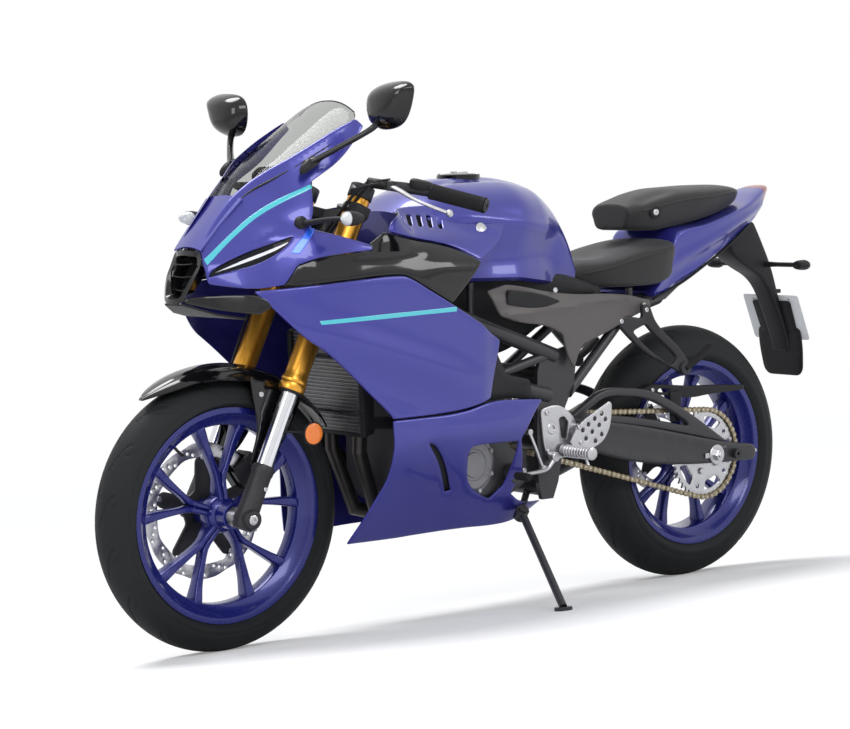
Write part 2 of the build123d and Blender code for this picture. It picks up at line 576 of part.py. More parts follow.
def silencer():
    """The muffler can: a tapered six-sided body with a chamfered tail."""
    a = Vector(*SILENCER_START)
    b = Vector(*SILENCER_END)
    along = (b - a).normalized()
    length = (b - a).length
    place = Plane(origin=a, x_dir=Vector(0, 1, 0), z_dir=along)
    wires = []
    for at, half_y, half_z in ((0, 28, 30), (70, 40, 56), (length - 60, 48, 66), (length, 38, 50)):
        corners = [(half_y, 0), (half_y * 0.72, half_z), (-half_y * 0.72, half_z)]
        corners += [(-half_y, 0), (-half_y * 0.72, -half_z), (half_y * 0.72, -half_z)]
        wires.append(Wire.make_polygon([place.from_local_coords(Vector(p, q, at)) for p, q in corners], close=True))
    body = Solid.make_loft(wires, ruled=True)
    outlet = Plane(origin=b - along * 40, z_dir=along) * Cylinder(20, 60, align=(Align.CENTER, Align.CENTER, Align.MIN))
    return body + outlet - nodes["exhaust_headers"]


nodes["silencer"] = silencer()

# ------------------------------------------------------------------ radiator
RADIATOR_CORE = [(376, 450), (400, 446), (408, 664), (384, 668)]
RADIATOR_TANK = [(372, 448), (404, 442), (412, 664), (380, 672)]
RADIATOR_HALF_WIDTH = 118.0
RADIATOR_TANK_WIDTH = 18.0
radiator = slab(RADIATOR_CORE, -RADIATOR_HALF_WIDTH, RADIATOR_HALF_WIDTH)
radiator += slab(RADIATOR_TANK, RADIATOR_HALF_WIDTH, RADIATOR_HALF_WIDTH + RADIATOR_TANK_WIDTH)
radiator += slab(RADIATOR_TANK, -RADIATOR_HALF_WIDTH - RADIATOR_TANK_WIDTH, -RADIATOR_HALF_WIDTH)
RADIATOR_STAY_RADIUS = 6
radiator_stay = rod((392, RADIATOR_HALF_WIDTH + 6, 630), (316, 141, 613), RADIATOR_STAY_RADIUS)
radiator += radiator_stay + mirror(radiator_stay, Plane.XZ)
nodes["radiator"] = radiator - nodes["frame"]

# ------------------------------------------------------------------ fairing skin
# One ruled skin carries every body panel from the nose to the engine. Each row is a cross section:
# x, then (half width, z) at the belly, chine, lower side, upper side, shoulder and top edge.
FAIRING_SECTIONS = [
    (-160, (80, 246), (150, 320), (195, 450), (196, 780), (174, 848), (140, 910)),
    (0, (105, 207), (150, 300), (212, 450), (213, 780), (190, 852), (163, 915)),
    (150, (115, 212), (160, 300), (226, 450), (228, 780), (203, 852), (143, 918)),
    (300, (118, 212), (168, 300), (233, 450), (235, 780), (209, 860), (136, 922)),
    (400, (118, 212), (171, 300), (235, 450), (235, 780), (212, 890), (140, 1106)),
    (470, (118, 212), (172, 300), (235, 450), (234, 780), (205, 892), (137, 1066)),
    (560, (110, 212), (160, 300), (224, 450), (222, 772), (188, 890), (118, 1020)),
    (640, (92, 212), (140, 300), (200, 450), (188, 765), (166, 862), (72, 972)),
    (700, (60, 212), (105, 300), (160, 450), (142, 758), (122, 832), (52, 918)),
    (758, (40, 212), (50, 300), (80, 450), (66, 752), (70, 800), (44, 850)),
    (792, (16, 212), (20, 300), (30, 450), (34, 750), (38, 778), (26, 802)),
]


def fairing_loft(inset, open_top=0, lid=0):
    """The fairing's outer or inner form: every half width inset, the top carried up or lowered."""
    stations = []
    for x, belly, *sides, top in FAIRING_SECTIONS:
        half = [(belly[0] - inset, belly[1] + inset)]
        half += [(y - inset, z) for y, z in sides]
        half += [(max(top[0] - inset, 4), top[1] - lid)]
        if open_top:
            half += [(max(top[0] - inset, 4), top[1] + open_top)]
        stations.append((x, half))
    return section_loft(stations)


fairing_outside = fairing_loft(0)
fairing_inside = fairing_loft(PANEL_WALL, open_top=40)
fairing_skin = fairing_outside - fairing_inside


def panel(outline, *cutouts):
    """The left half of the skin inside a side-view outline, less any cut-outs."""
    piece = fairing_skin & slab(outline, PANEL_SEAM / 2, 400)
    for hole in cutouts:
        piece -= slab(hole, 0, 400)
    return piece


SIDE_TOP_EDGE = [(752, 778), (692, 768), (609, 776), (563, 780), (376, 795)]
SIDE_REAR_EDGE = [(368, 793), (306, 763), (229, 724), (117, 660), (81, 640), (98, 580), (116, 513)]
SIDE_LOWER_EDGE = [(210, 491), (398, 489)]
LEADING_EDGE = [(411, 505), (456, 544), (502, 587), (567, 642), (613, 671), (672, 743)]
side_outline = [*SIDE_TOP_EDGE[1:], *SIDE_REAR_EDGE, *SIDE_LOWER_EDGE, *LEADING_EDGE]
side_fairing = panel(side_outline)
nodes["side_fairings"] = left_and_right(side_fairing)

LOWER_FRONT_EDGE = [(400, 487), (396, 430), (392, 353), (404, 319), (441, 213), (438, 195)]
LOWER_REAR_EDGE = [(-144, 195), (-144, 252), (-48, 256), (-6, 285), (-22, 333), (17, 416), (-13, 464), (-48, 502)]
LOWER_TOP_EDGE = [(33, 508), (116, 511), (210, 489)]
ENGINE_WINDOW = [(176, 392), (171, 410), (143, 414), (25, 411), (18, 361), (24, 307), (58, 278), (107, 298), (153, 332)]
EXHAUST_TUNNEL = [(-30, 190), (-30, 270), (-200, 270), (-200, 190)]
EXHAUST_TUNNEL_HALF = 92.0
VENT_SLIT = [(299, 430), (276, 424), (225, 369), (188, 313), (205, 310), (243, 369)]
lower_cowl = panel([*LOWER_FRONT_EDGE, *LOWER_REAR_EDGE, *LOWER_TOP_EDGE], ENGINE_WINDOW, VENT_SLIT)
lower_cowl -= disc(FRONT_AXLE, FRONT_TYRE_RADIUS + WHEEL_ARCH_GAP, -400, 400)
lower_cowl -= slab(EXHAUST_TUNNEL, 0, EXHAUST_TUNNEL_HALF)
nodes["lower_cowls"] = left_and_right(lower_cowl)

LAMP_OUTLINE = [(753, 797), (745, 816), (706, 840), (655, 864), (609, 879), (623, 860), (675, 824), (718, 810)]
COWL_REAR_EDGE = [(395, 1112), (455, 1046), (514, 1006), (540, 990), (549, 943), (567, 893), (440, 860), (438, 846)]
COWL_LOWER_EDGE = [(558, 838), (612, 820), (640, 778), (692, 770), (750, 780)]
NOSE_EDGE = [(750, 855), (711, 920), (663, 975), (600, 1025), (540, 1060), (470, 1100), (410, 1130)]
cowl_outline = [*COWL_REAR_EDGE, *COWL_LOWER_EDGE, *NOSE_EDGE]
upper_cowl = panel(cowl_outline, LAMP_OUTLINE)
nodes["upper_cowls"] = left_and_right(upper_cowl)
LAMP_SET_BACK = 1.0
LAMP_DEPTH = 22.0
lamp_body = fairing_loft(LAMP_SET_BACK) - fairing_loft(LAMP_DEPTH, open_top=40)
nodes["headlamps"] = left_and_right(lamp_body & slab(LAMP_OUTLINE, 10, 400))

SHROUD_LOWER_EDGE = [(398, 884), (330, 870), (213, 852), (140, 815)]
INFILL = [(438, 846), (558, 838), (612, 820), (640, 778), (609, 776), (563, 780), (376, 795), (368, 793), (306, 763),
          (229, 724), *reversed(SHROUD_LOWER_EDGE), (440, 860)]
infill = panel(INFILL)
nodes["side_infills"] = left_and_right(infill)

# ------------------------------------------------------------------ nose, screen and cockpit
NOSE_DUCT = [(754, 852), (764, 848), (800, 790), (796, 742), (768, 728), (686, 710), (663, 731), (672, 744),
             (692, 768), (752, 779), (746, 800)]
NOSE_CHIN = [(684, 708), (768, 728), (796, 742), (796, 749), (768, 735), (684, 715)]
NOSE_LID = [(657, 700), (657, 1000), (786, 1000), (786, 700)]
NOSE_FRONT = [(778, 700), (800, 700), (800, 860), (778, 860)]
duct_block = fairing_skin & slab(NOSE_DUCT, -400, 400)
duct_block += fairing_outside & slab(NOSE_DUCT, -400, 400) & slab(NOSE_FRONT, -400, 400)
duct_block += fairing_outside & slab(NOSE_CHIN, -400, 400)
duct_block += (fairing_outside - fairing_loft(0, lid=PANEL_WALL)) & slab(NOSE_LID, -400, 400)
duct_block -= slab([(770, 752), (770, 788), (810, 788), (810, 752)], -24, 24)
for name in ("upper_cowls", "headlamps", "side_fairings"):
    duct_block -= nodes[name]
nodes["nose_duct"] = duct_block

SCREEN_SECTIONS = [
    # x, edge half width, edge z, crest z
    (660, 62, 957.4, 964),
    (640, 70, 975.4, 985),
    (560, 116, 1023.4, 1050),
    (470, 132, 1076, 1116),
    (400, 124, 1128, 1164),
]
SCREEN_WALL = 3.0


def windscreen():
    """A thin bubble: arched strips lofted from the nose up to the rear lip."""
    wires = []
    for x, half, edge_z, crest_z in SCREEN_SECTIONS:
        lift = SCREEN_WALL
        outer = Edge.make_three_point_arc(Vector(x, half, edge_z), Vector(x, 0, crest_z), Vector(x, -half, edge_z))
        inner = Edge.make_three_point_arc(Vector(x, -half, edge_z - lift), Vector(x, 0, crest_z - lift),
                                          Vector(x, half, edge_z - lift))
        right = Edge.make_line(Vector(x, -half, edge_z), Vector(x, -half, edge_z - lift))
        left = Edge.make_line(Vector(x, half, edge_z - lift), Vector(x, half, edge_z))
        wires.append(Wire([outer, right, inner, left]))
    screen = Solid.make_loft(wires, ruled=True)
    return screen - nodes["upper_cowls"]


nodes["windscreen"] = windscreen()

INSTRUMENT_AT = (520, 0, 985)
INSTRUMENT_TILT = 50.0
INSTRUMENT_SIZE = (96, 150, 26)
instrument = Pos(*INSTRUMENT_AT) * Rot(0, INSTRUMENT_TILT - 90, 0) * Box(*INSTRUMENT_SIZE)
nodes["instrument_panel"] = instrument

STAY_RADIUS = 8
STAY_END_Y = 134.8
STAY_FORK = (545, 14, 915)
STAY_CORNER = (560, 96, 985)
STAY_ARM_X = 540
STAY_LAMP_END = (690, 60, 815)
DIAL_TAB_Y = 60
stay_root = fork_point(596, 28 - FORK_OFFSET, 6)
stay_arm_end = (STAY_ARM_X, STAY_END_Y, STAY_CORNER[2])
stay = tube_run([stay_root, STAY_FORK, STAY_CORNER, (STAY_ARM_X, 100, STAY_CORNER[2]), stay_arm_end], STAY_RADIUS)
stay += rod(STAY_FORK, STAY_LAMP_END, STAY_RADIUS)
front_stay = stay + mirror(stay, Plane.XZ)
for x, y, z in (STAY_CORNER, STAY_LAMP_END):
    front_stay += rod((x, -y, z), (x, y, z), STAY_RADIUS)
for y in (-DIAL_TAB_Y, DIAL_TAB_Y):
    front_stay += rod((INSTRUMENT_AT[0], y, 966), (STAY_CORNER[0], y, STAY_CORNER[2]), STAY_RADIUS - 2)
nodes["front_stay"] = front_stay - nodes["instrument_panel"] - nodes["frame"]

# ------------------------------------------------------------------ mirrors and front indicators
MIRROR_STEM = [(545, 140, 1028), (520, 190, 1050), (462, 268, 1098), (452, 290, 1112)]
MIRROR_HEAD = [(224, 1150), (236, 1184), (300, 1196), (362, 1190), (372, 1176), (352, 1118), (320, 1098), (262, 1098),
               (236, 1112)]
MIRROR_X = 452
MIRROR_DEPTH = 40
MIRROR_STEM_RADIUS = 8
MIRROR_FOOT_AT = (545, 148, 1024)
MIRROR_FOOT = (60, 30, 14)


def mirror_head():
    """The mirror's shell: a tapered loft from its rear rim to a smaller domed front."""
    centre_y = sum(y for y, z in MIRROR_HEAD) / len(MIRROR_HEAD)
    centre_z = sum(z for y, z in MIRROR_HEAD) / len(MIRROR_HEAD)
    wires = []
    for x, scale in ((MIRROR_X - 12, 1), (MIRROR_X + 8, 0.97), (MIRROR_X + MIRROR_DEPTH - 12, 0.62)):
        points = [Vector(x, centre_y + (y - centre_y) * scale, centre_z + (z - centre_z) * scale)
                  for y, z in MIRROR_HEAD]
        wires.append(Wire.make_polygon(points, close=True))
    return Solid.make_loft(wires, ruled=True)


mirror_shell = mirror_head()
mirror_shell += tube_run(MIRROR_STEM, MIRROR_STEM_RADIUS) - mirror_shell
base = Pos(*MIRROR_FOOT_AT) * Rot(0, 30, 0) * Box(*MIRROR_FOOT)
nodes["mirrors"] = left_and_right(mirror_shell + base - nodes["upper_cowls"] - nodes["front_stay"])


def indicator(base_point, tip_point, stalk, lens_half_length, lens_radius):
    """A turn signal: a stalk with a blunt lens housing at its end."""
    body = rod(base_point, tip_point, stalk)
    x, y, z = tip_point
    front = Vector(x + lens_half_length, y, z)
    place = Plane(origin=front, z_dir=Vector(-1, 0.15, 0))
    body += place * Cone(lens_radius * 0.6, lens_radius, lens_half_length,
                         align=(Align.CENTER, Align.CENTER, Align.MIN))
    body += place * Pos(0, 0, lens_half_length) * Cone(lens_radius, lens_radius * 0.7, lens_half_length,
                                                       align=(Align.CENTER, Align.CENTER, Align.MIN))
    return body


INDICATOR_ROOT = (578, 173, 905)
INDICATOR_TIP = (550, 300, 915)
STALK_RADIUS = 7
LENS_HALF_LENGTH = 26
LENS_RADIUS = 17
front_indicator = indicator(INDICATOR_ROOT, INDICATOR_TIP, STALK_RADIUS, LENS_HALF_LENGTH, LENS_RADIUS)
nodes["front_indicators"] = left_and_right(front_indicator - nodes["upper_cowls"])

# ------------------------------------------------------------------ tank and seats
TANK_SECTIONS = [
    # x, low z, low half width, wide z, wide half width, top z
    (268, 800, 120, 880, 128, 930),
    (200, TANK_FLOOR, 150, 880, 158, 968),
    (95, TANK_FLOOR, 160, 890, 172, 997),
    (-20, 762, 160, 890, 170, 1000),
    (-110, 752, 140, 875, 148, 990),
    (-180, 745, 108, 845, 116, 958),
    (-236, 742, 92, 812, 98, 884),
    (-266, 740, 84, 774, 88, 812),
]
nodes["fuel_tank"] = crowned_loft(TANK_SECTIONS)

CAP_AT = (20, 0)
CAP_RADIUS = 48
CAP_HEIGHT = 10
cap = Pos(CAP_AT[0], 0, 992) * Cylinder(CAP_RADIUS, CAP_HEIGHT * 2)
nodes["fuel_cap"] = cap - nodes["fuel_tank"]

TANK_SHROUD = [(376, 913), *SHROUD_LOWER_EDGE, (62, 850), (20, 898), (30, 930), (200, 934)]
nodes["tank_shrouds"] = left_and_right(panel(TANK_SHROUD) - nodes["fuel_tank"])

RIDER_SEAT_SECTIONS = [
    (-268, 738, 70, 766, 78, 800),
    (-330, SEAT_FLOOR, 104, 776, 112, 806),
    (-430, SEAT_FLOOR, 118, 806, 128, 836),
    (-520, SEAT_FLOOR, 118, 820, 130, 846),
    (-576, 760, 104, 824, 116, 848),
]
nodes["rider_seat"] = crowned_loft(RIDER_SEAT_SECTIONS)

PILLION_SEAT_SECTIONS = [
    (-462, 862, 56, 905, 74, 938),
    (-540, 864, 82, 928, 98, 962),
    (-592, 872.3, 84, 938, 98, 970),
    (-660, 882.3, 84, 944, 98, 974),
    (-760, 902.3, 72, 952, 88, 978),
    (-850, 928.3, 48, 958, 60, 972),
]
nodes["pillion_seat"] = crowned_loft(PILLION_SEAT_SECTIONS)

TAIL_SECTIONS = [
    (-500, 706, 101, 716, 108, 722),
    (-578, 730, 98, 742, 110, 750),
    (-581, 732, 98, 858, 112, 870),
    (-660, 762, 92, 872, 110, 882),
    (-760, 806, 78, 896, 104, 902),
    (-850, 846, 58, 920, 90, 928),
    (-920, 884, 42, 940, 66, 958),
    (-980, 936, 22, 962, 34, 976),
]
TAIL_MOUTH = 30.0
tail_inside = [(x, z_low - TAIL_MOUTH, y_low - PANEL_WALL - TAIL_MOUTH * (y_wide - y_low) / (z_wide - z_low),
                z_wide, y_wide - PANEL_WALL, z_top - PANEL_WALL)
               for x, z_low, y_low, z_wide, y_wide, z_top in TAIL_SECTIONS]
tail = crowned_loft(TAIL_SECTIONS) - crowned_loft(tail_inside[:-1])
LAMP_LINE = [(-946, 1000), (-958, 880), (-1000, 880), (-1000, 1000)]
nodes["tail_lamp"] = tail & slab(LAMP_LINE, -100, 100)
nodes["tail_cowl"] = tail - slab(LAMP_LINE, -100, 100)

# ------------------------------------------------------------------ side covers under the seat
SIDE_COVER = [(96, 750), (33, 764), (-146, 731), (-364, 727), (-479, 705), (-479, 681), (-211, 614), (-178, 560),
              (-140, 640), (-86, 664), (-8, 671), (60, 690)]
SIDE_COVER_PLAN = [(110, 194), (-80, 182), (-200, 170), (-300, 152), (-420, 126), (-490, 118)]
SIDE_COVER_WALL = 5.0


def plan_wall(plan, thickness, z_low, z_high):
    """An upright wall following (x, y) points in plan, its outer face on them."""
    points = plan + [(x, y - thickness) for x, y in reversed(plan)]
    wire = Wire.make_polygon([Vector(x, y, z_low) for x, y in points], close=True)
    return Solid.extrude(Face(wire), Vector(0, 0, z_high - z_low))


side_cover = slab(SIDE_COVER, 50, 300) & plan_wall(SIDE_COVER_PLAN, SIDE_COVER_WALL, 500, 800)
nodes["side_covers"] = left_and_right(side_cover)

# ------------------------------------------------------------------ rear fender, plate and rear signals
PLATE_TOP = (-1026, 692)
PLATE_BOTTOM = (-1075, 574)
PLATE_HALF_WIDTH = 95.0
PLATE_THICKNESS = 2.0
FENDER_ARM_HALF = 28.0
FENDER_ARM = [(-832.8, 838), (-832.8, 862), (-930, 882), (-965, 830), (-1004, 768), PLATE_TOP, PLATE_BOTTOM, (-1080, 540),
              (-1064, 540), (-1060, 574), (-1000, 700), (-960, 740), (-900, 768), (-850, 800)]
MUD_FLAP = [(-1066, 590), PLATE_BOTTOM, (-1086, 478), (-1078, 474)]
rear_fender = slab(FENDER_ARM, -FENDER_ARM_HALF, FENDER_ARM_HALF) + slab(MUD_FLAP, -72, 72)
nodes["rear_fender"] = rear_fender
plate = [PLATE_TOP, PLATE_BOTTOM, (PLATE_BOTTOM[0] - PLATE_THICKNESS, PLATE_BOTTOM[1] + 0.8)]
plate += [(PLATE_TOP[0] - PLATE_THICKNESS, PLATE_TOP[1] + 0.8)]
nodes["number_plate"] = slab(plate, -PLATE_HALF_WIDTH, PLATE_HALF_WIDTH)


def rear_indicator():
    """A small stalked signal on the rear fender's arm."""
    body = rod((-978, FENDER_ARM_HALF, 772), (-982, 126, 772), 6)
    lens = Plane(origin=(-960, 150, 772), z_dir=(-1, 0, 0))
    return body + lens * Cylinder(13, 44, align=(Align.CENTER, Align.CENTER, Align.MIN)) \
        + rod((-982, 120, 772), (-982, 170, 772), 12)


nodes["rear_indicators"] = left_and_right(rear_indicator() - nodes["rear_fender"])

# ------------------------------------------------------------------ swingarm, axle and chain guard
ARM_SIDE = [(-92, 444), (-160, 448), (-448, 403), (-605, 369), (-740, 340), (-830, 330), (-836, 288), (-612, 294),
            (-412, 316), (-160, 392), (-100, 402)]
BRACE_OUTER = [(-200, 440), (-313, 502), (-472, 489), (-619, 416), (-748, 334), (-600, 372), (-440, 404)]
BRACE_INNER = [(-262, 446), (-322, 480), (-462, 468), (-590, 404), (-600, 390), (-440, 422)]
rear_axle_hole = disc(REAR_AXLE, AXLE_RADIUS, SWINGARM_INNER_Y - 5, SWINGARM_OUTER_Y + 5)
pivot_hole = disc((PIVOT_X, PIVOT_Z), PIVOT_RADIUS, -200, 200)


def swingarm():
    """Two braced arms, the pivot tube and a cross beam between the chain's runs."""
    side = slab(ARM_SIDE, SWINGARM_INNER_Y, SWINGARM_OUTER_Y)
    side += slab(BRACE_OUTER, SWINGARM_INNER_Y + 4, SWINGARM_OUTER_Y - 4) - \
        slab(BRACE_INNER, SWINGARM_INNER_Y, SWINGARM_OUTER_Y)
    side -= rear_axle_hole
    arm = side + mirror(side, Plane.XZ)
    arm += slab([(-168, 366), (-168, 428), (-236, 420), (-236, 356)], -SWINGARM_INNER_Y - 2, SWINGARM_INNER_Y + 2)
    arm += disc((PIVOT_X, PIVOT_Z), SWINGARM_PIVOT_TUBE, -FRAME_PLATE_Y + 1, FRAME_PLATE_Y - 1)
    return arm - pivot_hole


nodes["swingarm"] = swingarm()
PIVOT_BOLT_END = FRAME_PLATE_Y + FRAME_PLATE_THICKNESS + 8
pivot_bolt = disc((PIVOT_X, PIVOT_Z), PIVOT_RADIUS, -PIVOT_BOLT_END, PIVOT_BOLT_END)

REAR_AXLE_END = SWINGARM_OUTER_Y + 10
rear_axle = disc(REAR_AXLE, AXLE_RADIUS, -REAR_AXLE_END, REAR_AXLE_END)
rear_axle += disc(REAR_AXLE, SPACER_RADIUS, CHAIN_LINE - SPROCKET_THICKNESS / 2 + SEAT_GAP, SWINGARM_INNER_Y)
rear_axle += disc(REAR_AXLE, SPACER_RADIUS, -SWINGARM_INNER_Y, -REAR_HUB_WIDTH / 2 - SEAT_GAP)
nodes["rear_spindles"] = Compound([*rear_axle.solids(), *pivot_bolt.solids()])

SPOOL_AT = (-755, 312)
SPOOL_RADIUS = 12.0
SPOOL_LENGTH = 14.0
SPOOL_THREAD_RADIUS = 4.0
spool = disc(SPOOL_AT, SPOOL_RADIUS, SWINGARM_OUTER_Y, SWINGARM_OUTER_Y + SPOOL_LENGTH)
spool -= disc(SPOOL_AT, SPOOL_THREAD_RADIUS, SWINGARM_OUTER_Y, SWINGARM_OUTER_Y + SPOOL_LENGTH + 1)
nodes["stand_bosses"] = left_and_right(spool)

GUARD_OUTER = [(-470, 488), (-500, 496), (-640, 482), (-820, 476), (-822, 466), (-690, 462), (-640, 452), (-500, 476)]
chain_guard = slab(GUARD_OUTER, 76, 100)
chain_guard -= slab([(-462, 470), (-500, 488), (-640, 476), (-826, 470), (-826, 440), (-640, 430)], 79, 97)
chain_guard += slab([(-590, 410), (-560, 410), (-560, 480), (-590, 480)], 98, SWINGARM_INNER_Y + 4)
nodes["chain_guard"] = chain_guard - nodes["swingarm"]

rear_caliper_side = [polar(REAR_AXLE, r, a) for r, a in ((68, 40), (68, 84), (118, 76), (118, 46))]
rear_caliper = slab(rear_caliper_side, -REAR_HUB_WIDTH / 2 - 22, -REAR_HUB_WIDTH / 2 + 12)
rear_caliper -= disc(REAR_AXLE, REAR_DISC_RADIUS + RUNNING_GAP, -REAR_HUB_WIDTH / 2 - DISC_THICKNESS - 5,
                     -REAR_HUB_WIDTH / 2 + 5)
rear_caliper += slab([polar(REAR_AXLE, r, a) for r, a in ((72, 50), (72, 74), (112, 70), (112, 52))],
                     -SWINGARM_INNER_Y, -REAR_HUB_WIDTH / 2 - 20)
rear_caliper += slab([polar(REAR_AXLE, r, a) for r, a in ((22, 20), (22, 100), (110, 72), (110, 50))],
                     -SWINGARM_INNER_Y + SEAT_GAP, -SWINGARM_INNER_Y + 7)
nodes["rear_caliper"] = rear_caliper

# ------------------------------------------------------------------ footrests and pedals
BRACKET_SIDE = [(-86, 470), (-150, 476), (-196, 440), (-196, 372), (-130, 350), (-96, 372), (-88, 430)]
HEEL_PLATE = [(-158, 390), (-189, 433), (-286, 476), (-285, 425), (-259, 382), (-214, 367)]
BRACKET_Y = FRAME_PLATE_Y + FRAME_PLATE_THICKNESS
PIVOT_CLEARANCE = 2.0
bracket = slab(BRACKET_SIDE, BRACKET_Y, BRACKET_Y + 8)
bracket += slab(HEEL_PLATE, BRACKET_Y + 24, BRACKET_Y + 28)
HEEL_POST_RADIUS = 7
HEEL_POSTS = [(-186, 420), (-190, 385)]
for post in HEEL_POSTS:
    bracket += disc(post, HEEL_POST_RADIUS, BRACKET_Y, BRACKET_Y + 26)
bracket -= disc((PIVOT_X, PIVOT_Z), PIVOT_RADIUS + PIVOT_CLEARANCE, 0, 300)

PEG_AT = (-150, 372)
PEG_RADIUS = 14
PEG_LENGTH = 84
bracket += disc(PEG_AT, PEG_RADIUS - 3, BRACKET_Y + 8, BRACKET_Y + 29)
bracket += disc(PEG_AT, PEG_RADIUS, BRACKET_Y + 28, BRACKET_Y + 28 + PEG_LENGTH)
nodes["rider_footrests"] = left_and_right(bracket)

PEDAL_Y = BRACKET_Y + 16
PEDAL_PIVOT = (-118, PEDAL_Y, 360)
PEDAL_KNEE = (-90, PEDAL_Y, 330)
PEDAL_TOE = (14, 190, 330)
PEDAL_RADIUS = 6
PEDAL_BOSS_RADIUS = 9
GEAR_TOE_LENGTH = 40
BRAKE_TOE_LENGTH = 32


def pedal(toe_length):
    """A foot lever: its boss on the bracket, the bent arm and the toe peg."""
    lever = tube_run([PEDAL_PIVOT, PEDAL_KNEE, PEDAL_TOE], PEDAL_RADIUS)
    lever += disc((PEDAL_TOE[0], PEDAL_TOE[2]), PEDAL_BOSS_RADIUS, PEDAL_TOE[1] - 4, PEDAL_TOE[1] + toe_length)
    lever += disc((PEDAL_PIVOT[0], PEDAL_PIVOT[2]), PEDAL_BOSS_RADIUS, BRACKET_Y + 8, PEDAL_Y + 6)
    return lever


gear_lever = pedal(GEAR_TOE_LENGTH)
gear_lever += rod((PEDAL_KNEE[0], PEDAL_Y - 4, 334), (-60, 150, 420), 4)
brake_pedal = pedal(BRAKE_TOE_LENGTH)
gear_lever -= nodes["rider_footrests"]
brake_pedal = mirror(brake_pedal, Plane.XZ) - nodes["rider_footrests"]
nodes["foot_levers"] = Compound([*gear_lever.solids(), *brake_pedal.solids()])

PILLION_KNEE = (-518, 186, 541)
PILLION_BAR = 17.0
pillion_rest = disc((PILLION_KNEE[0], PILLION_KNEE[2]), 16, PILLION_KNEE[1] - 16, PILLION_KNEE[1] + 10)
pillion_rest += rod(PILLION_KNEE, (-596, 196, 590), 12)
for root, bend in (((-436, 112, 688), (-446, 150, 640)), ((-350, 128, 655), (-400, 150, 610))):
    strut = square_bar(root, bend, PILLION_BAR) - nodes["seat_rails"] - side_cover
    pillion_rest += strut
    pillion_rest += square_bar(bend, PILLION_KNEE, PILLION_BAR)
nodes["pillion_footrests"] = left_and_right(pillion_rest)

# ------------------------------------------------------------------ side stand
# The floor under the leaned bike rises to the left in the bike's upright frame.
UP = Vector(0, -LEAN_SIN, LEAN_COS)
stand_pivot = Vector(*STAND_PIVOT)
foot_x, foot_y = STAND_FOOT
stand_foot = Vector(foot_x, foot_y, foot_y * LEAN_SIN / LEAN_COS)
stand_heel = stand_foot + UP * STAND_PAD_THICKNESS
leg_down = stand_heel - stand_pivot
leg_folded = Vector(*STAND_FOLDED_FOOT) - stand_pivot
STAND_AXIS = leg_down.cross(leg_folded).normalized()
STAND_SWING = leg_down.get_angle(leg_folded)
STAND_HUB_RADIUS = 15.0
STAND_HUB_HALF = 9.0
STAND_PIN_RADIUS = 6.0
LUG_THICKNESS = 8.0


def about_stand(radius, low, high):
    """A round piece on the stand's pivot axis between two distances along it."""
    start = stand_pivot + STAND_AXIS * low
    end = stand_pivot + STAND_AXIS * high
    return rod(start, end, radius)


stand = about_stand(STAND_HUB_RADIUS, -STAND_HUB_HALF, STAND_HUB_HALF)
stand += rod(stand_pivot, stand_heel, STAND_LEG_RADIUS)
stand += rod(stand_foot, stand_heel, STAND_PAD_RADIUS)
nodes["side_stand"] = stand - about_stand(STAND_PIN_RADIUS + SHAFT_FIT, -20, 20)

lug_inner = -STAND_HUB_HALF - SEAT_GAP
lug = about_stand(STAND_HUB_RADIUS, lug_inner - LUG_THICKNESS, lug_inner)
lug += about_stand(STAND_PIN_RADIUS, lug_inner, STAND_HUB_HALF + SEAT_GAP)
lug += about_stand(STAND_PIN_RADIUS + 4, STAND_HUB_HALF + SEAT_GAP, STAND_HUB_HALF + 5)
lug_centre = stand_pivot + STAND_AXIS * (lug_inner - LUG_THICKNESS / 2)
arm = rod((-112, 84, 285), lug_centre - STAND_AXIS * 2, 8)
lug += arm - about_stand(STAND_HUB_RADIUS + 14, lug_inner, 60)
nodes["stand_bracket"] = lug - nodes["frame"] - nodes["lower_cowls"]

# ------------------------------------------------------------------ leaning, placing and writing
leaned = {name: shape.rotate(Axis.X, -LEAN_ANGLE) for name, shape in nodes.items()}
boxes = [shape.bounding_box() for shape in leaned.values()]
low = Vector(*(min(getattr(box.min, axis) for box in boxes) for axis in "XYZ"))
high = Vector(*(max(getattr(box.max, axis) for box in boxes) for axis in "XYZ"))
origin = Vector((low.X + high.X) / 2, (low.Y + high.Y) / 2, low.Z)
for name, shape in leaned.items():
    export_step(shape.translate(-origin), "parts/" + name + ".step")


def placed(point):
    """A point of the upright bike in the finished part's frame, in metres."""
    return [round(c / 1000, 6) for c in (Vector(*point).rotate(Axis.X, -LEAN_ANGLE) - origin)]


def turned(direction):
    """A direction of the upright bike in the finished part's frame."""
    return [round(c, 7) for c in Vector(*direction).rotate(Axis.X, -LEAN_ANGLE).normalized()]


print("MODEL " + json.dumps({
    "size_m": [round(c / 1000, 6) for c in (high - low)],
    "origin_m": [round(c / 1000, 6) for c in origin],
    "steering": [placed(fork_point(HEAD_LOW, -FORK_OFFSET, 0)), turned((-RAKE_SIN, 0, RAKE_COS))],
    "front_wheel": [placed((FRONT_AXLE[0], 0, FRONT_AXLE[1])), turned((0, 1, 0))],
    "rear_wheel": [placed((REAR_AXLE[0], 0, REAR_AXLE[1])), turned((0, 1, 0))],
    "side_stand": [placed(STAND_PIVOT), turned(STAND_AXIS), round(STAND_SWING, 3)],
    "left_boss": [placed((SPOOL_AT[0], SWINGARM_OUTER_Y + SPOOL_LENGTH, SPOOL_AT[1])), turned((0, 1, 0))],
    "right_boss": [placed((SPOOL_AT[0], -SWINGARM_OUTER_Y - SPOOL_LENGTH, SPOOL_AT[1])), turned((0, -1, 0))],
    "stem_foot": [placed(fork_point(LOWER_YOKE_BOTTOM, -FORK_OFFSET, 0)), turned((RAKE_SIN, 0, -RAKE_COS))],
}))
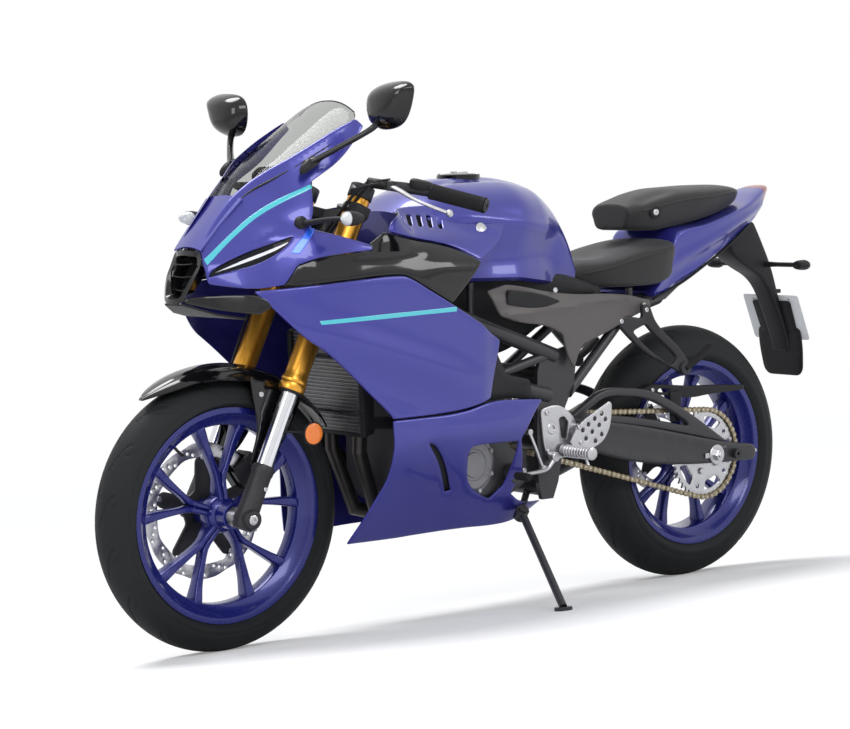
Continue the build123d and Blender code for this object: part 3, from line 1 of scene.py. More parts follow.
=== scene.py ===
import json
import math

import bmesh
import bpy
import numpy as np
from mathutils import Matrix, Vector
from mathutils.geometry import delaunay_2d_cdt


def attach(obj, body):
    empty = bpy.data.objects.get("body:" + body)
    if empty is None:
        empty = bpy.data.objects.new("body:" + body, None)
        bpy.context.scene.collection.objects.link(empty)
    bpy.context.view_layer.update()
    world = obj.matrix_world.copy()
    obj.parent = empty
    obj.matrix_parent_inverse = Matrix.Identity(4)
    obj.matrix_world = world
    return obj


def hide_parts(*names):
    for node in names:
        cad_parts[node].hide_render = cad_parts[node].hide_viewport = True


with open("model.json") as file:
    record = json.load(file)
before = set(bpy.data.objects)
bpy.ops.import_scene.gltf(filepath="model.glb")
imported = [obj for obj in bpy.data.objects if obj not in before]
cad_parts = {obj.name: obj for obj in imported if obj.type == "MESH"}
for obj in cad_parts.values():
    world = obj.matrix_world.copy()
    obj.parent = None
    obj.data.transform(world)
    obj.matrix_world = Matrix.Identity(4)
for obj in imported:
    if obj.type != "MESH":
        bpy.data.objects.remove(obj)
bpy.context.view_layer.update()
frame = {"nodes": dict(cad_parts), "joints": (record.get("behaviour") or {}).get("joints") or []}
NODES = frame["nodes"]

# ------------------------------------------------------------------ frames of reference
# Pieces are drawn in the bike's own upright frame in millimetres, as the CAD is, and ROW leans them.
LEAN = math.radians(8)
FRONT_AXLE = (690.0, 292.9)
REAR_AXLE = (-690.0, 313.9)
RAKE = math.radians(25)
AXLES = {j["name"]: Vector(j["pos_m"]) for j in frame["joints"]}
TURN = Matrix.Rotation(-LEAN, 4, "X")
SHIFT = AXLES["front_wheel_axle"] - TURN @ Vector((FRONT_AXLE[0] / 1000, 0, FRONT_AXLE[1] / 1000))
ROW = Matrix.Translation(SHIFT) @ TURN @ Matrix.Scale(0.001, 4)


def at_axle(centre, y=0):
    return centre[0], y, centre[1]


def fork_point(along, forwards, y):
    """A point from its distance up the fork from the axle, its distance ahead of that line, and its y."""
    return (FRONT_AXLE[0] - along * math.sin(RAKE) + forwards * math.cos(RAKE), y,
            FRONT_AXLE[1] + along * math.cos(RAKE) + forwards * math.sin(RAKE))


def in_scene(name, data):
    ob = bpy.data.objects.new(name, data)
    bpy.context.scene.collection.objects.link(ob)
    return ob


# ------------------------------------------------------------------ camera, light and stage
# The camera's place in the bike's upright frame (mm), its turns (radians) and its focal length in pixels.
CAMERA_AT = (3271.49713, 3891.42232, 970.595031)
CAMERA_YAW, CAMERA_PITCH, CAMERA_ROLL = -2.25092393, 0.0785254904, -0.0113417054
FOCAL_PX, PHOTO_WIDTH_PX, SENSOR_MM = 2213.86172, 850.0, 36.0
# Name, place, aim, size and power of each area lamp.
AREA_LAMPS = (
    ("key", (1.7, 3.9, 3.1), (0.1, 0, 0.6), (2.8, 1.6), 78),
    ("front", (4.4, 1.2, 1.9), (0.5, 0, 0.6), (1.3, 1.8), 34),
    ("rear", (-2.8, 4.0, 2.2), (-0.5, 0, 0.6), (1.6, 1.4), 38),
)
SUN_POWER, SUN_ANGLE, SUN_FROM = 2.35, 0.55, (0.10, -0.34, 1.0)
WORLD_TINT, WORLD_FILL = (0.9, 0.93, 1.0, 1), 0.30
FLOOR_HALF, FLOOR_GREY, FLOOR_GLOW = 30.0, (0.8, 0.8, 0.8, 1), 0.21
WHITE = (1, 1, 1, 1)


def camera():
    d = Vector((math.cos(CAMERA_YAW) * math.cos(CAMERA_PITCH), math.sin(CAMERA_YAW) * math.cos(CAMERA_PITCH),
                -math.sin(CAMERA_PITCH)))
    r = d.cross(Vector((0, 0, 1))).normalized()
    u = r.cross(d)
    right = r * math.cos(CAMERA_ROLL) + u * math.sin(CAMERA_ROLL)
    up = u * math.cos(CAMERA_ROLL) - r * math.sin(CAMERA_ROLL)
    data = bpy.data.cameras.new("camera")
    data.sensor_width = SENSOR_MM
    data.lens = FOCAL_PX * SENSOR_MM / PHOTO_WIDTH_PX
    data.clip_start, data.clip_end = 0.05, 100
    cam = in_scene("camera", data)
    place = TURN @ Matrix((right, up, -d)).transposed().to_4x4()
    place.translation = ROW @ Vector(CAMERA_AT)
    cam.matrix_world = place
    bpy.context.scene.camera = cam


camera()
bpy.context.scene.view_settings.view_transform = "Standard"


def light_world():
    """A dim even fill; camera, transmission and glossy rays see white."""
    world = bpy.data.worlds.new("studio")
    bpy.context.scene.world = world
    world.use_nodes = True
    tree = world.node_tree
    tree.nodes.clear()
    new, wire = tree.nodes.new, tree.links.new
    out = new("ShaderNodeOutputWorld")
    path = new("ShaderNodeLightPath")
    seen, both = new("ShaderNodeMath"), new("ShaderNodeMath")
    seen.operation = both.operation = "MAXIMUM"
    wire(path.outputs["Is Camera Ray"], seen.inputs[0])
    wire(path.outputs["Is Transmission Ray"], seen.inputs[1])
    wire(seen.outputs[0], both.inputs[0])
    wire(path.outputs["Is Glossy Ray"], both.inputs[1])
    plain = new("ShaderNodeBackground")
    plain.inputs[0].default_value = WORLD_TINT
    plain.inputs[1].default_value = WORLD_FILL
    white = new("ShaderNodeBackground")
    white.inputs[0].default_value = WHITE
    white.inputs[1].default_value = 1.0
    mix = new("ShaderNodeMixShader")
    wire(both.outputs[0], mix.inputs[0])
    wire(plain.outputs[0], mix.inputs[1])
    wire(white.outputs[0], mix.inputs[2])
    wire(mix.outputs[0], out.inputs[0])


def lamps():
    for name, where, aim, size, power in AREA_LAMPS:
        light = bpy.data.lights.new(name, "AREA")
        light.shape = "RECTANGLE"
        light.size, light.size_y = size
        light.energy = power
        ob = in_scene(name, light)
        ob.location = where
        ob.rotation_euler = (Vector(aim) - Vector(where)).to_track_quat("-Z", "Y").to_euler()
    sun = bpy.data.lights.new("sun", "SUN")
    sun.energy = SUN_POWER
    sun.angle = SUN_ANGLE
    in_scene("sun", sun).rotation_euler = Vector(SUN_FROM).to_track_quat("Z", "Y").to_euler()


def ground():
    """The stage: a matt floor that takes shadows, lifted towards white for camera rays alone."""
    mesh = bpy.data.meshes.new("floor")
    half = FLOOR_HALF
    mesh.from_pydata([(-half, -half, 0), (half, -half, 0), (half, half, 0), (-half, half, 0)], [],
                     [(0, 1, 2, 3)])
    floor = in_scene("floor", mesh)
    m = bpy.data.materials.new("floor")
    m.use_nodes = True
    tree = m.node_tree
    tree.nodes.clear()
    new, wire = tree.nodes.new, tree.links.new
    out = new("ShaderNodeOutputMaterial")
    diffuse = new("ShaderNodeBsdfDiffuse")
    diffuse.inputs[0].default_value = FLOOR_GREY
    glow, black = new("ShaderNodeEmission"), new("ShaderNodeEmission")
    glow.inputs[0].default_value = WHITE
    glow.inputs[1].default_value = FLOOR_GLOW
    black.inputs[1].default_value = 0.0
    path = new("ShaderNodeLightPath")
    pick = new("ShaderNodeMixShader")
    wire(path.outputs["Is Camera Ray"], pick.inputs[0])
    wire(black.outputs[0], pick.inputs[1])
    wire(glow.outputs[0], pick.inputs[2])
    add = new("ShaderNodeAddShader")
    wire(diffuse.outputs[0], add.inputs[0])
    wire(pick.outputs[0], add.inputs[1])
    wire(add.outputs[0], out.inputs[0])
    mesh.materials.append(m)


light_world()
lamps()
ground()


# ------------------------------------------------------------------ materials
def finish(name, base, rough=0.4, metal=0.0, coat=0.0, vary=0.12, vary_scale=30.0, rough_vary=0.08,
           grain=None, stretch=(1, 1, 1), **extra):
    """A procedural material: base colour and roughness drift over a noise, and a grain gives the bump.
    grain is (texture, scale, depth in mm)."""
    m = bpy.data.materials.new(name)
    m.use_nodes = True
    tree = m.node_tree
    new, wire = tree.nodes.new, tree.links.new
    bsdf = tree.nodes["Principled BSDF"]
    bsdf.inputs["Metallic"].default_value = metal
    bsdf.inputs["Coat Weight"].default_value = coat
    bsdf.inputs["Coat Roughness"].default_value = 0.04
    for key, value in extra.items():
        bsdf.inputs[key.replace("_", " ").title().replace("Ior", "IOR")].default_value = value
    where = new("ShaderNodeTexCoord")
    spread = new("ShaderNodeMapping")
    spread.inputs["Scale"].default_value = stretch
    wire(where.outputs["Object"], spread.inputs["Vector"])
    cloud = new("ShaderNodeTexNoise")
    cloud.inputs["Scale"].default_value = vary_scale
    cloud.inputs["Detail"].default_value = 4
    wire(spread.outputs[0], cloud.inputs["Vector"])
    tint = new("ShaderNodeMix")
    tint.data_type = "RGBA"
    low = [min(1, c * (1 - vary)) for c in base]
    high = [min(1, c * (1 + vary)) for c in base]
    tint.inputs[6].default_value = (*low, 1)
    tint.inputs[7].default_value = (*high, 1)
    wire(cloud.outputs["Fac"], tint.inputs[0])
    wire(tint.outputs[2], bsdf.inputs["Base Color"])
    shine = new("ShaderNodeMapRange")
    shine.inputs["To Min"].default_value = max(0.02, rough - rough_vary)
    shine.inputs["To Max"].default_value = min(1, rough + rough_vary)
    wire(cloud.outputs["Fac"], shine.inputs[0])
    wire(shine.outputs[0], bsdf.inputs["Roughness"])
    if grain:
        kind, scale, depth = grain
        tex = new({"noise": "ShaderNodeTexNoise", "voronoi": "ShaderNodeTexVoronoi",
                   "wave": "ShaderNodeTexWave"}[kind])
        tex.inputs["Scale"].default_value = scale
        wire(spread.outputs[0], tex.inputs["Vector"])
        bump = new("ShaderNodeBump")
        bump.inputs["Strength"].default_value = 1.0
        bump.inputs["Distance"].default_value = depth * 0.001
        wire(tex.outputs[{"noise": "Fac", "voronoi": "Distance", "wave": 1}[kind]], bump.inputs["Height"])
        wire(bump.outputs[0], bsdf.inputs["Normal"])
    return m


BLUE = finish("blue_paint", (0.034, 0.034, 0.285), 0.30, 0.35, 0.6, vary=0.10, vary_scale=2600,
              rough_vary=0.05, grain=("noise", 3200, 0.004))
ACCENT = finish("accent_blue", (0.012, 0.11, 0.75), 0.3, 0.4, 1.0, vary=0.08, vary_scale=2600,
                grain=("noise", 3200, 0.004))
CYAN = finish("cyan_stripe", (0.06, 0.52, 0.62), 0.32, 0.0, 0.8, vary=0.05, vary_scale=200)
GLOSS = finish("gloss_black", (0.004, 0.004, 0.005), 0.10, 0.0, 0.25, vary=0.25, rough_vary=0.03,
               grain=("noise", 900, 0.003), Specular_IOR_Level=0.35)
SATIN = finish("satin_black", (0.012, 0.012, 0.014), 0.48, 0.0, vary=0.2, vary_scale=60,
               grain=("noise", 1800, 0.03), Specular_IOR_Level=0.22)
GREY = finish("dark_grey_plastic", (0.090, 0.080, 0.080), 0.46, 0.1, vary=0.12, vary_scale=50,
              grain=("noise", 2200, 0.03))
FRAME = finish("frame_paint", (0.026, 0.026, 0.031), 0.42, 0.2, 0.1, vary=0.15, vary_scale=90,
               grain=("noise", 700, 0.02))
RUBBER = finish("tyre_rubber", (0.016, 0.017, 0.018), 0.62, 0.0, vary=0.25, vary_scale=40, rough_vary=0.1,
                grain=("noise", 1400, 0.05), Specular_IOR_Level=0.16)
WHEEL = finish("wheel_blue", (0.010, 0.014, 0.17), 0.28, 0.3, 0.4, vary=0.12, vary_scale=300,
               grain=("noise", 900, 0.01))
STEEL = finish("brushed_steel", (0.52, 0.52, 0.54), 0.30, 1.0, vary=0.14, vary_scale=120, rough_vary=0.1,
               grain=("noise", 900, 0.01), stretch=(1, 8, 1))
CHROME = finish("stanchion_chrome", (0.72, 0.73, 0.76), 0.10, 1.0, vary=0.05, vary_scale=100, rough_vary=0.04)
GOLD = finish("gold_anodised", (0.74, 0.36, 0.045), 0.30, 0.9, 0.2, vary=0.07, vary_scale=900,
              grain=("noise", 3200, 0.002))
CAST = finish("cast_black", (0.022, 0.022, 0.025), 0.48, 0.3, vary=0.2, vary_scale=120,
              grain=("noise", 1100, 0.06))
ALLOY = finish("bare_alloy", (0.50, 0.50, 0.52), 0.36, 0.9, vary=0.12, vary_scale=140,
               grain=("noise", 1300, 0.03))
COVER = finish("cover_alloy", (0.20, 0.20, 0.215), 0.40, 0.6, vary=0.12, vary_scale=140,
               grain=("noise", 1500, 0.05))
ENGINE = finish("engine_casting", (0.055, 0.055, 0.06), 0.5, 0.5, vary=0.2, vary_scale=110,
                grain=("noise", 900, 0.10))
PIPE = finish("header_steel", (0.055, 0.050, 0.048), 0.42, 0.8, vary=0.35, vary_scale=26,
              grain=("noise", 800, 0.03))
CHAIN = finish("chain_steel", (0.30, 0.25, 0.16), 0.38, 0.9, vary=0.25, vary_scale=500,
               grain=("noise", 1500, 0.03))
VINYL = finish("seat_vinyl", (0.014, 0.014, 0.015), 0.55, 0.0, vary=0.2, vary_scale=70,
               grain=("voronoi", 900, 0.16), Sheen_Weight=0.15, Specular_IOR_Level=0.3)
GRIP = finish("grip_rubber", (0.015, 0.015, 0.016), 0.7, 0.0, vary=0.2, grain=("voronoi", 500, 0.3),
              Specular_IOR_Level=0.15)
PLATE = finish("blank_plate", (0.78, 0.80, 0.82), 0.35, 0.0, vary=0.04, vary_scale=40,
               grain=("noise", 500, 0.01))
CLEAR = finish("clear_lens", (0.62, 0.64, 0.66), 0.08, 0.0, 0.5, vary=0.12, vary_scale=160,
               grain=("voronoi", 420, 0.5))
AMBER = finish("amber_lens", (0.85, 0.20, 0.015), 0.18, 0.0, 0.6, vary=0.12, vary_scale=220,
               grain=("voronoi", 420, 0.4))
RED = finish("red_lens", (0.28, 0.008, 0.010), 0.15, 0.0, 0.6, vary=0.12, vary_scale=220,
             grain=("voronoi", 420, 0.3))
CORE = finish("radiator_core", (0.22, 0.22, 0.23), 0.42, 0.8, vary=0.2, vary_scale=300,
              grain=("wave", 300, 1.2), stretch=(0.1, 0.1, 1))
LAMP = finish("lamp_bar", (0.86, 0.88, 0.92), 0.2, 0.0, 0.5, vary=0.05, vary_scale=200,
              grain=("voronoi", 500, 0.2))
MIRROR = finish("mirror_glass", (0.75, 0.78, 0.8), 0.03, 1.0, vary=0.02, rough_vary=0.01)
SCREEN_M = finish("smoked_screen", (0.46, 0.47, 0.46), 0.025, 0.0, vary=0.03, rough_vary=0.005,
                  Transmission_Weight=1.0, IOR=1.12)
SMOKE = finish("smoked_lens", (0.05, 0.055, 0.07), 0.06, 0.0, vary=0.1, rough_vary=0.02,
               Transmission_Weight=0.75, IOR=1.2)

CAD_FINISH = {
    "fuel_tank": BLUE, "tail_cowl": BLUE, "side_fairings": BLUE, "lower_cowls": BLUE, "upper_cowls": BLUE,
    "tank_shrouds": BLUE, "side_infills": GLOSS, "nose_duct": GLOSS, "front_fender": GLOSS, "mirrors": GLOSS,
    "windscreen": SCREEN_M, "headlamps": SMOKE, "tail_lamp": RED, "instrument_panel": SATIN,
    "front_indicators": SATIN, "rear_indicators": SATIN, "fork_reflectors": AMBER, "rider_seat": VINYL,
    "pillion_seat": VINYL, "rear_fender": SATIN, "number_plate": PLATE, "side_covers": GREY,
    "chain_guard": SATIN, "front_tyre": RUBBER, "rear_tyre": RUBBER, "front_wheel_rim": WHEEL,
    "rear_wheel_rim": WHEEL, "front_brake_disc": STEEL, "rear_brake_disc": STEEL, "rear_sprocket": STEEL,
    "drive_chain": CHAIN, "fork_tubes": GOLD, "fork_lowers": CAST, "yokes": CAST, "handlebars": CAST,
    "levers": ALLOY, "front_caliper": CAST, "rear_caliper": CAST, "frame": FRAME, "seat_rails": FRAME,
    "front_stay": FRAME, "stand_bracket": FRAME, "engine": ENGINE, "engine_covers": COVER,
    "exhaust_headers": PIPE, "silencer": CAST, "radiator": CORE, "swingarm": FRAME, "rear_spindles": STEEL,
    "stand_bosses": CAST, "rider_footrests": ALLOY, "foot_levers": ALLOY, "pillion_footrests": CAST,
    "side_stand": FRAME, "fuel_cap": CAST,
}
for name, ob in NODES.items():
    ob.data.materials.clear()
    ob.data.materials.append(CAD_FINISH[name])


# ------------------------------------------------------------------ mesh tools
def monotone(xs, ys, at):
    """Monotone cubic curves through rows of ys at xs, read at many places."""
    xs, ys, at = (np.asarray(a, float) for a in (xs, ys, at))
    flat = ys.ndim == 1
    ys = ys[:, None] if flat else ys
    h = np.diff(xs)[:, None]
    s = np.diff(ys, axis=0) / h
    m = np.zeros_like(ys)
    w1, w2 = 2 * h[1:] + h[:-1], h[1:] + 2 * h[:-1]
    with np.errstate(divide="ignore", invalid="ignore"):
        mid = (w1 + w2) / (w1 / s[:-1] + w2 / s[1:])
    m[1:-1] = np.where(s[:-1] * s[1:] > 0, mid, 0)
    m[0], m[-1] = s[0], s[-1]
    i = np.clip(np.searchsorted(xs, at, side="right") - 1, 0, len(xs) - 2)
    t = np.clip((at - xs[i]) / np.diff(xs)[i], 0, 1)[:, None]
    out = ((2 * t ** 3 - 3 * t ** 2 + 1) * ys[i] + (t ** 3 - 2 * t ** 2 + t) * h[i] * m[i]
           + (3 * t ** 2 - 2 * t ** 3) * ys[i + 1] + (t ** 3 - t ** 2) * h[i] * m[i + 1])
    return out[:, 0] if flat else out


def step(a, b, x):
    """A smooth rise from 0 at a to 1 at b."""
    t = np.clip((x - a) / (b - a), 0, 1)
    return t * t * (3 - 2 * t)


def roll(d, r):
    """How far a rounded edge of radius r falls back at distance d from it."""
    d = np.clip(d, 0, r)
    return r - np.sqrt(np.maximum(r * r - (r - d) ** 2, 0))


def soften(points, corner=5.0, pitch=7.0, limit=36):
    """A closed outline with its shallow corners drawn as curves and its sharp ones filleted."""
    pts = [np.array(p[:2], float) for p in points]
    out = []
    for i, b in enumerate(pts):
        a, c = pts[i - 1], pts[(i + 1) % len(pts)]
        u, v = a - b, c - b
        lu, lv = np.linalg.norm(u), np.linalg.norm(v)
        turn = math.degrees(math.acos(np.clip(-(u @ v) / (lu * lv), -1, 1)))
        reach = (min(corner, 0.45 * lu), min(corner, 0.45 * lv)) if turn > limit else (0.5 * lu, 0.5 * lv)
        p, q = b + u / lu * reach[0], b + v / lv * reach[1]
        for t in np.linspace(0, 1, max(4, int(sum(reach) / pitch) + 2)):
            out.append((1 - t) ** 2 * p + 2 * t * (1 - t) * b + t * t * q)
    return pace(out, pitch)


def pace(points, pitch):
    """The closed outline with long stretches divided and crowded points dropped."""
    out = []
    for i, p in enumerate(points):
        q = points[(i + 1) % len(points)]
        n = max(1, int(round(np.linalg.norm(np.subtract(q, p)) / pitch)))
        for k in range(n):
            r = np.add(p, np.subtract(q, p) * k / n)
            if not out or np.linalg.norm(r - out[-1]) > 0.35:
                out.append(r)
    if np.linalg.norm(out[0] - out[-1]) < 0.35:
        out.pop()
    return np.array(out)


def angles(count):
    """Even steps round a full turn."""
    return np.arange(count) * 2 * math.pi / count


def circle(x, z, r, n=24):
    a = angles(n)
    return np.stack([x + r * np.cos(a), z + r * np.sin(a)], 1)


def inside(pts, poly):
    x, z = pts[:, 0][:, None], pts[:, 1][:, None]
    a, b = poly, np.roll(poly, -1, 0)
    with np.errstate(divide="ignore", invalid="ignore"):
        cross = (a[:, 1] > z) != (b[:, 1] > z)
        at = (b[:, 0] - a[:, 0]) * (z - a[:, 1]) / (b[:, 1] - a[:, 1]) + a[:, 0]
    return (np.sum(cross & (x < at), 1) % 2) == 1


def from_edge(pts, loops):
    best = np.full(len(pts), 1e9)
    for loop in loops:
        a, b = loop, np.roll(loop, -1, 0)
        ab = b - a
        for k in range(0, len(pts), 2000):
            p = pts[k:k + 2000, None]
            t = np.clip(np.sum((p - a) * ab, 2) / np.maximum(np.sum(ab * ab, 1), 1e-12), 0, 1)
            d = np.linalg.norm(p - a - ab * t[..., None], axis=2).min(1)
            best[k:k + 2000] = np.minimum(best[k:k + 2000], d)
    return best


def fill(outline, holes=(), pitch=11.0, rings=(0.5, 1.6, 4.0)):
    """A mesh inside an outline less its holes: points, triangles, distance to the edge, and the rim."""
    outline = np.asarray(outline, float)
    loops = [outline] + [np.asarray(h, float) for h in holes]
    points, edges = [], []
    for loop in loops:
        k = sum(len(p) for p in points)
        points.append(loop)
        edges += [(k + i, k + (i + 1) % len(loop)) for i in range(len(loop))]
    extra = []
    for n, loop in enumerate(loops):
        ahead = np.roll(loop, -1, 0) - np.roll(loop, 1, 0)
        ahead /= np.maximum(np.linalg.norm(ahead, axis=1, keepdims=True), 1e-9)
        normal = np.stack([-ahead[:, 1], ahead[:, 0]], 1)
        area = np.sum(loop[:, 0] * np.roll(loop[:, 1], -1) - np.roll(loop[:, 0], -1) * loop[:, 1])
        normal *= 1 if (area > 0) == (n == 0) else -1
        for r in rings:
            p = loop + normal * r
            extra.append(p[from_edge(p, loops) > 0.93 * r])
    lo, hi = outline.min(0), outline.max(0)
    rows = []
    for j, z in enumerate(np.arange(lo[1], hi[1], pitch * 0.866)):
        xs = np.arange(lo[0] + (j % 2) * pitch / 2, hi[0], pitch)
        rows.append(np.stack([xs, np.full(len(xs), z)], 1))
    grid = np.concatenate(rows) if rows else np.zeros((0, 2))
    last = (rings[-1] if rings else 0) + 0.45 * pitch
    extra.append(grid[from_edge(grid, loops) > last])
    more = np.concatenate(extra)
    keep = inside(more, outline)
    for hole in loops[1:]:
        keep &= ~inside(more, hole)
    allp = np.concatenate(points + [more[keep]])
    v, _, f, _, _, _ = delaunay_2d_cdt([Vector(p) for p in allp], edges, [], 0, 1e-5)
    pts = np.array([tuple(p) for p in v])
    tris = np.array([t for t in f if len(t) == 3])
    middle = pts[tris].mean(1)
    keep = inside(middle, outline)
    for hole in loops[1:]:
        keep &= ~inside(middle, hole)
    tris = tris[keep]
    seen = {}
    for t in tris:
        for a, b in ((t[0], t[1]), (t[1], t[2]), (t[2], t[0])):
            seen[(a, b)] = seen.get((a, b), 0) + 1
    rim = [(a, b) for a, b in seen if (b, a) not in seen]
    return pts, tris, from_edge(pts, loops), rim


def sheet(filled, front, back):
    """A closed sheet: each of front and back gives its 3-D points from (u, v, distance to the edge)."""
    pts, tris, d, rim = filled
    n = len(pts)
    verts = np.concatenate([front(pts[:, 0], pts[:, 1], d), back(pts[:, 0], pts[:, 1], d)])
    faces = [tuple(t) for t in tris] + [(t[2] + n, t[1] + n, t[0] + n) for t in tris]
    faces += [(b, a, a + n, b + n) for a, b in rim]
    return verts, faces


def upright(filled, outer, inner):
    """A sheet along the bike: outer and inner give its y from (x, z, distance to the edge)."""
    def side(form):
        return lambda x, z, d: np.stack([x, form(x, z, d) + 0 * x, z], 1)
    return sheet(filled, side(outer), side(inner))


def facing(filled, front, back):
    """A sheet across the bike: front and back give its x from (y, z, distance to the edge)."""
    def side(form):
        return lambda y, z, d: np.stack([form(y, z, d) + 0 * y, y, z], 1)
    return sheet(filled, side(front), side(back))


def plate(outline, holes, y0, y1, edge=1.5, pitch=14.0):
    """A flat plate between two y, its edges rounded on both faces."""
    filled = fill(outline, holes, pitch, (edge * 0.3, edge))
    return upright(filled, lambda x, z, d: y1 - roll(d, edge), lambda x, z, d: y0 + roll(d, edge))


def spline(points, per=8):
    """A smooth open line through points."""
    p = np.asarray(points, float)
    if len(p) < 3:
        return p
    q = np.concatenate([[2 * p[0] - p[1]], p, [2 * p[-1] - p[-2]]])
    out = []
    for i in range(1, len(q) - 2):
        for t in np.arange(per) / per:
            a, b, c, d = q[i - 1], q[i], q[i + 1], q[i + 2]
            out.append(0.5 * (2 * b + (c - a) * t + (2 * a - 5 * b + 4 * c - d) * t * t
                              + (3 * b - a - 3 * c + d) * t ** 3))
    return np.array(out + [p[-1]])


def loft(rings, ends=True):
    """Rings of equal length joined into a skin, with flat ends."""
    rings = [np.asarray(r, float) for r in rings]
    n = len(rings[0])
    faces = [(i * n + j, i * n + (j + 1) % n, (i + 1) * n + (j + 1) % n, (i + 1) * n + j)
             for i in range(len(rings) - 1) for j in range(n)]
    verts = np.concatenate(rings)
    if ends:
        faces += [tuple(reversed(range(n))), tuple(range(len(verts) - n, len(verts)))]
    return verts, faces


def tube(points, radius, sides=12, flat=1.0, smooth=True, ends=True):
    """Round rod along a smooth line; radius is a number or one for each given point."""
    p = np.asarray(points, float)
    radii = np.full(len(p), radius, float) if np.isscalar(radius) else np.asarray(radius, float)
    if smooth and len(p) > 2:
        per = 8
        line = spline(p, per)
        radii = np.interp(np.arange(len(line)) / per, np.arange(len(p)), radii)
    else:
        line = p
    ahead = np.gradient(line, axis=0)
    ahead /= np.linalg.norm(ahead, axis=1, keepdims=True)
    ref = np.array([0, 0, 1.0]) if abs(ahead[0][2]) < 0.9 else np.array([0, 1.0, 0])
    rings = []
    side = np.cross(ref, ahead[0])
    side /= np.linalg.norm(side)
    for c, t, r in zip(line, ahead, radii):
        side = side - t * (side @ t)
        side /= np.linalg.norm(side)
        up = np.cross(t, side)
        a = angles(sides)
        rings.append(c + r * (np.cos(a)[:, None] * side + flat * np.sin(a)[:, None] * up))
    return loft(rings, ends)


def slab(rows, move):
    """A closed slab: a grid of points, and the same grid moved."""
    count, across = len(rows), len(rows[0])
    top = np.concatenate(rows)
    quads = [(i * across + j, i * across + j + 1, (i + 1) * across + j + 1, (i + 1) * across + j)
             for i in range(count - 1) for j in range(across - 1)]
    last, n = (count - 1) * across, len(top)
    rim = (list(range(across)) + [i * across + across - 1 for i in range(1, count)]
           + [last + j for j in range(across - 2, -1, -1)] + [i * across for i in range(count - 2, 0, -1)])
    under = [tuple(i + n for i in reversed(q)) for q in quads]
    walls = [(a, b, b + n, a + n) for a, b in zip(rim, rim[1:] + rim[:1])]
    return np.concatenate([top, top + move]), quads + under + walls


def turned(profile, origin, axis, segs=48, closed=False):
    """A turned part: (radius, height along the axis) points swept round the axis from the origin."""
    z = np.asarray(axis, float) / np.linalg.norm(axis)
    ref = np.array([0, 0, 1.0]) if abs(z[2]) < 0.9 else np.array([1.0, 0, 0])
    x = np.cross(ref, z)
    x /= np.linalg.norm(x)
    y = np.cross(z, x)
    a = angles(segs)
    rings = [np.asarray(origin) + z * h + max(r, 0.01) * (np.cos(a)[:, None] * x + np.sin(a)[:, None] * y)
             for r, h in profile]
    if closed:
        return loft(rings + [rings[0]], False)
    return loft(rings)


def bolt(at, axis, r=5.0, h=5.0):
    """A socket-head bolt seen from outside: a chamfered head with a round socket."""
    return turned([(r, -1), (r, h - 0.8), (r - 0.8, h), (r * 0.52, h), (r * 0.5, h - 0.35 * h),
                   (0.1, h - 0.4 * h)],
                  at, axis, 18)


def both_sides(part):
    verts, faces = part
    n = len(verts)
    flip = verts * np.array([1, -1, 1])
    return np.concatenate([verts, flip]), list(faces) + [tuple(i + n for i in reversed(f)) for f in faces]


class Piece:
    """One object of the scene, gathered from several closed parts with their materials."""

    def __init__(self, name):
        self.name, self.verts, self.faces, self.slots, self.mats, self.count = name, [], [], [], [], 0

    def add(self, part, material, both=False):
        verts, faces = both_sides(part) if both else part
        if material not in self.mats:
            self.mats.append(material)
        self.verts.append(verts)
        self.faces += [tuple(int(i) + self.count for i in f) for f in faces]
        self.slots += [self.mats.index(material)] * len(faces)
        self.count += len(verts)
        return self

    def done(self, body, *nodes, slot=None, smooth=34):
        m = np.array(ROW)
        v = np.concatenate(self.verts) @ m[:3, :3].T + m[:3, 3]
        mesh = bpy.data.meshes.new(self.name)
        mesh.from_pydata(v.tolist(), [], self.faces)
        for material in self.mats:
            mesh.materials.append(material)
        mesh.polygons.foreach_set("material_index", self.slots)
        mesh.polygons.foreach_set("use_smooth", [True] * len(self.faces))
        mesh.update()
        bm = bmesh.new()
        bm.from_mesh(mesh)
        bmesh.ops.recalc_face_normals(bm, faces=bm.faces)
        bm.to_mesh(mesh)
        bm.free()
        mesh.set_sharp_from_angle(angle=math.radians(smooth))
        ob = in_scene(self.name, mesh)
        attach(ob, body)
        if nodes:
            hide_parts(*nodes)
        return ob


SHARP_ANGLE = math.radians(32)


def edge_softener():
    """A modifier group that smooths shading except across sharp edges, for the CAD pieces that stay."""
    g = bpy.data.node_groups.new("smooth_by_angle", "GeometryNodeTree")
    g.interface.new_socket("Geometry", in_out="INPUT", socket_type="NodeSocketGeometry")
    g.interface.new_socket("Geometry", in_out="OUTPUT", socket_type="NodeSocketGeometry")
    start, end = g.nodes.new("NodeGroupInput"), g.nodes.new("NodeGroupOutput")
    angle = g.nodes.new("GeometryNodeInputMeshEdgeAngle")
    sharp = g.nodes.new("FunctionNodeCompare")
    sharp.data_type, sharp.operation = "FLOAT", "LESS_THAN"
    sharp.inputs[1].default_value = SHARP_ANGLE
    faces, edges = (g.nodes.new("GeometryNodeSetShadeSmooth") for _ in range(2))
    faces.domain, edges.domain = "FACE", "EDGE"
    g.links.new(start.outputs[0], faces.inputs[0])
    g.links.new(faces.outputs[0], edges.inputs[0])
    g.links.new(angle.outputs[0], sharp.inputs[0])
    g.links.new(sharp.outputs[0], edges.inputs[2])
    g.links.new(edges.outputs[0], end.inputs[0])
    return g


SOFTENER = edge_softener()


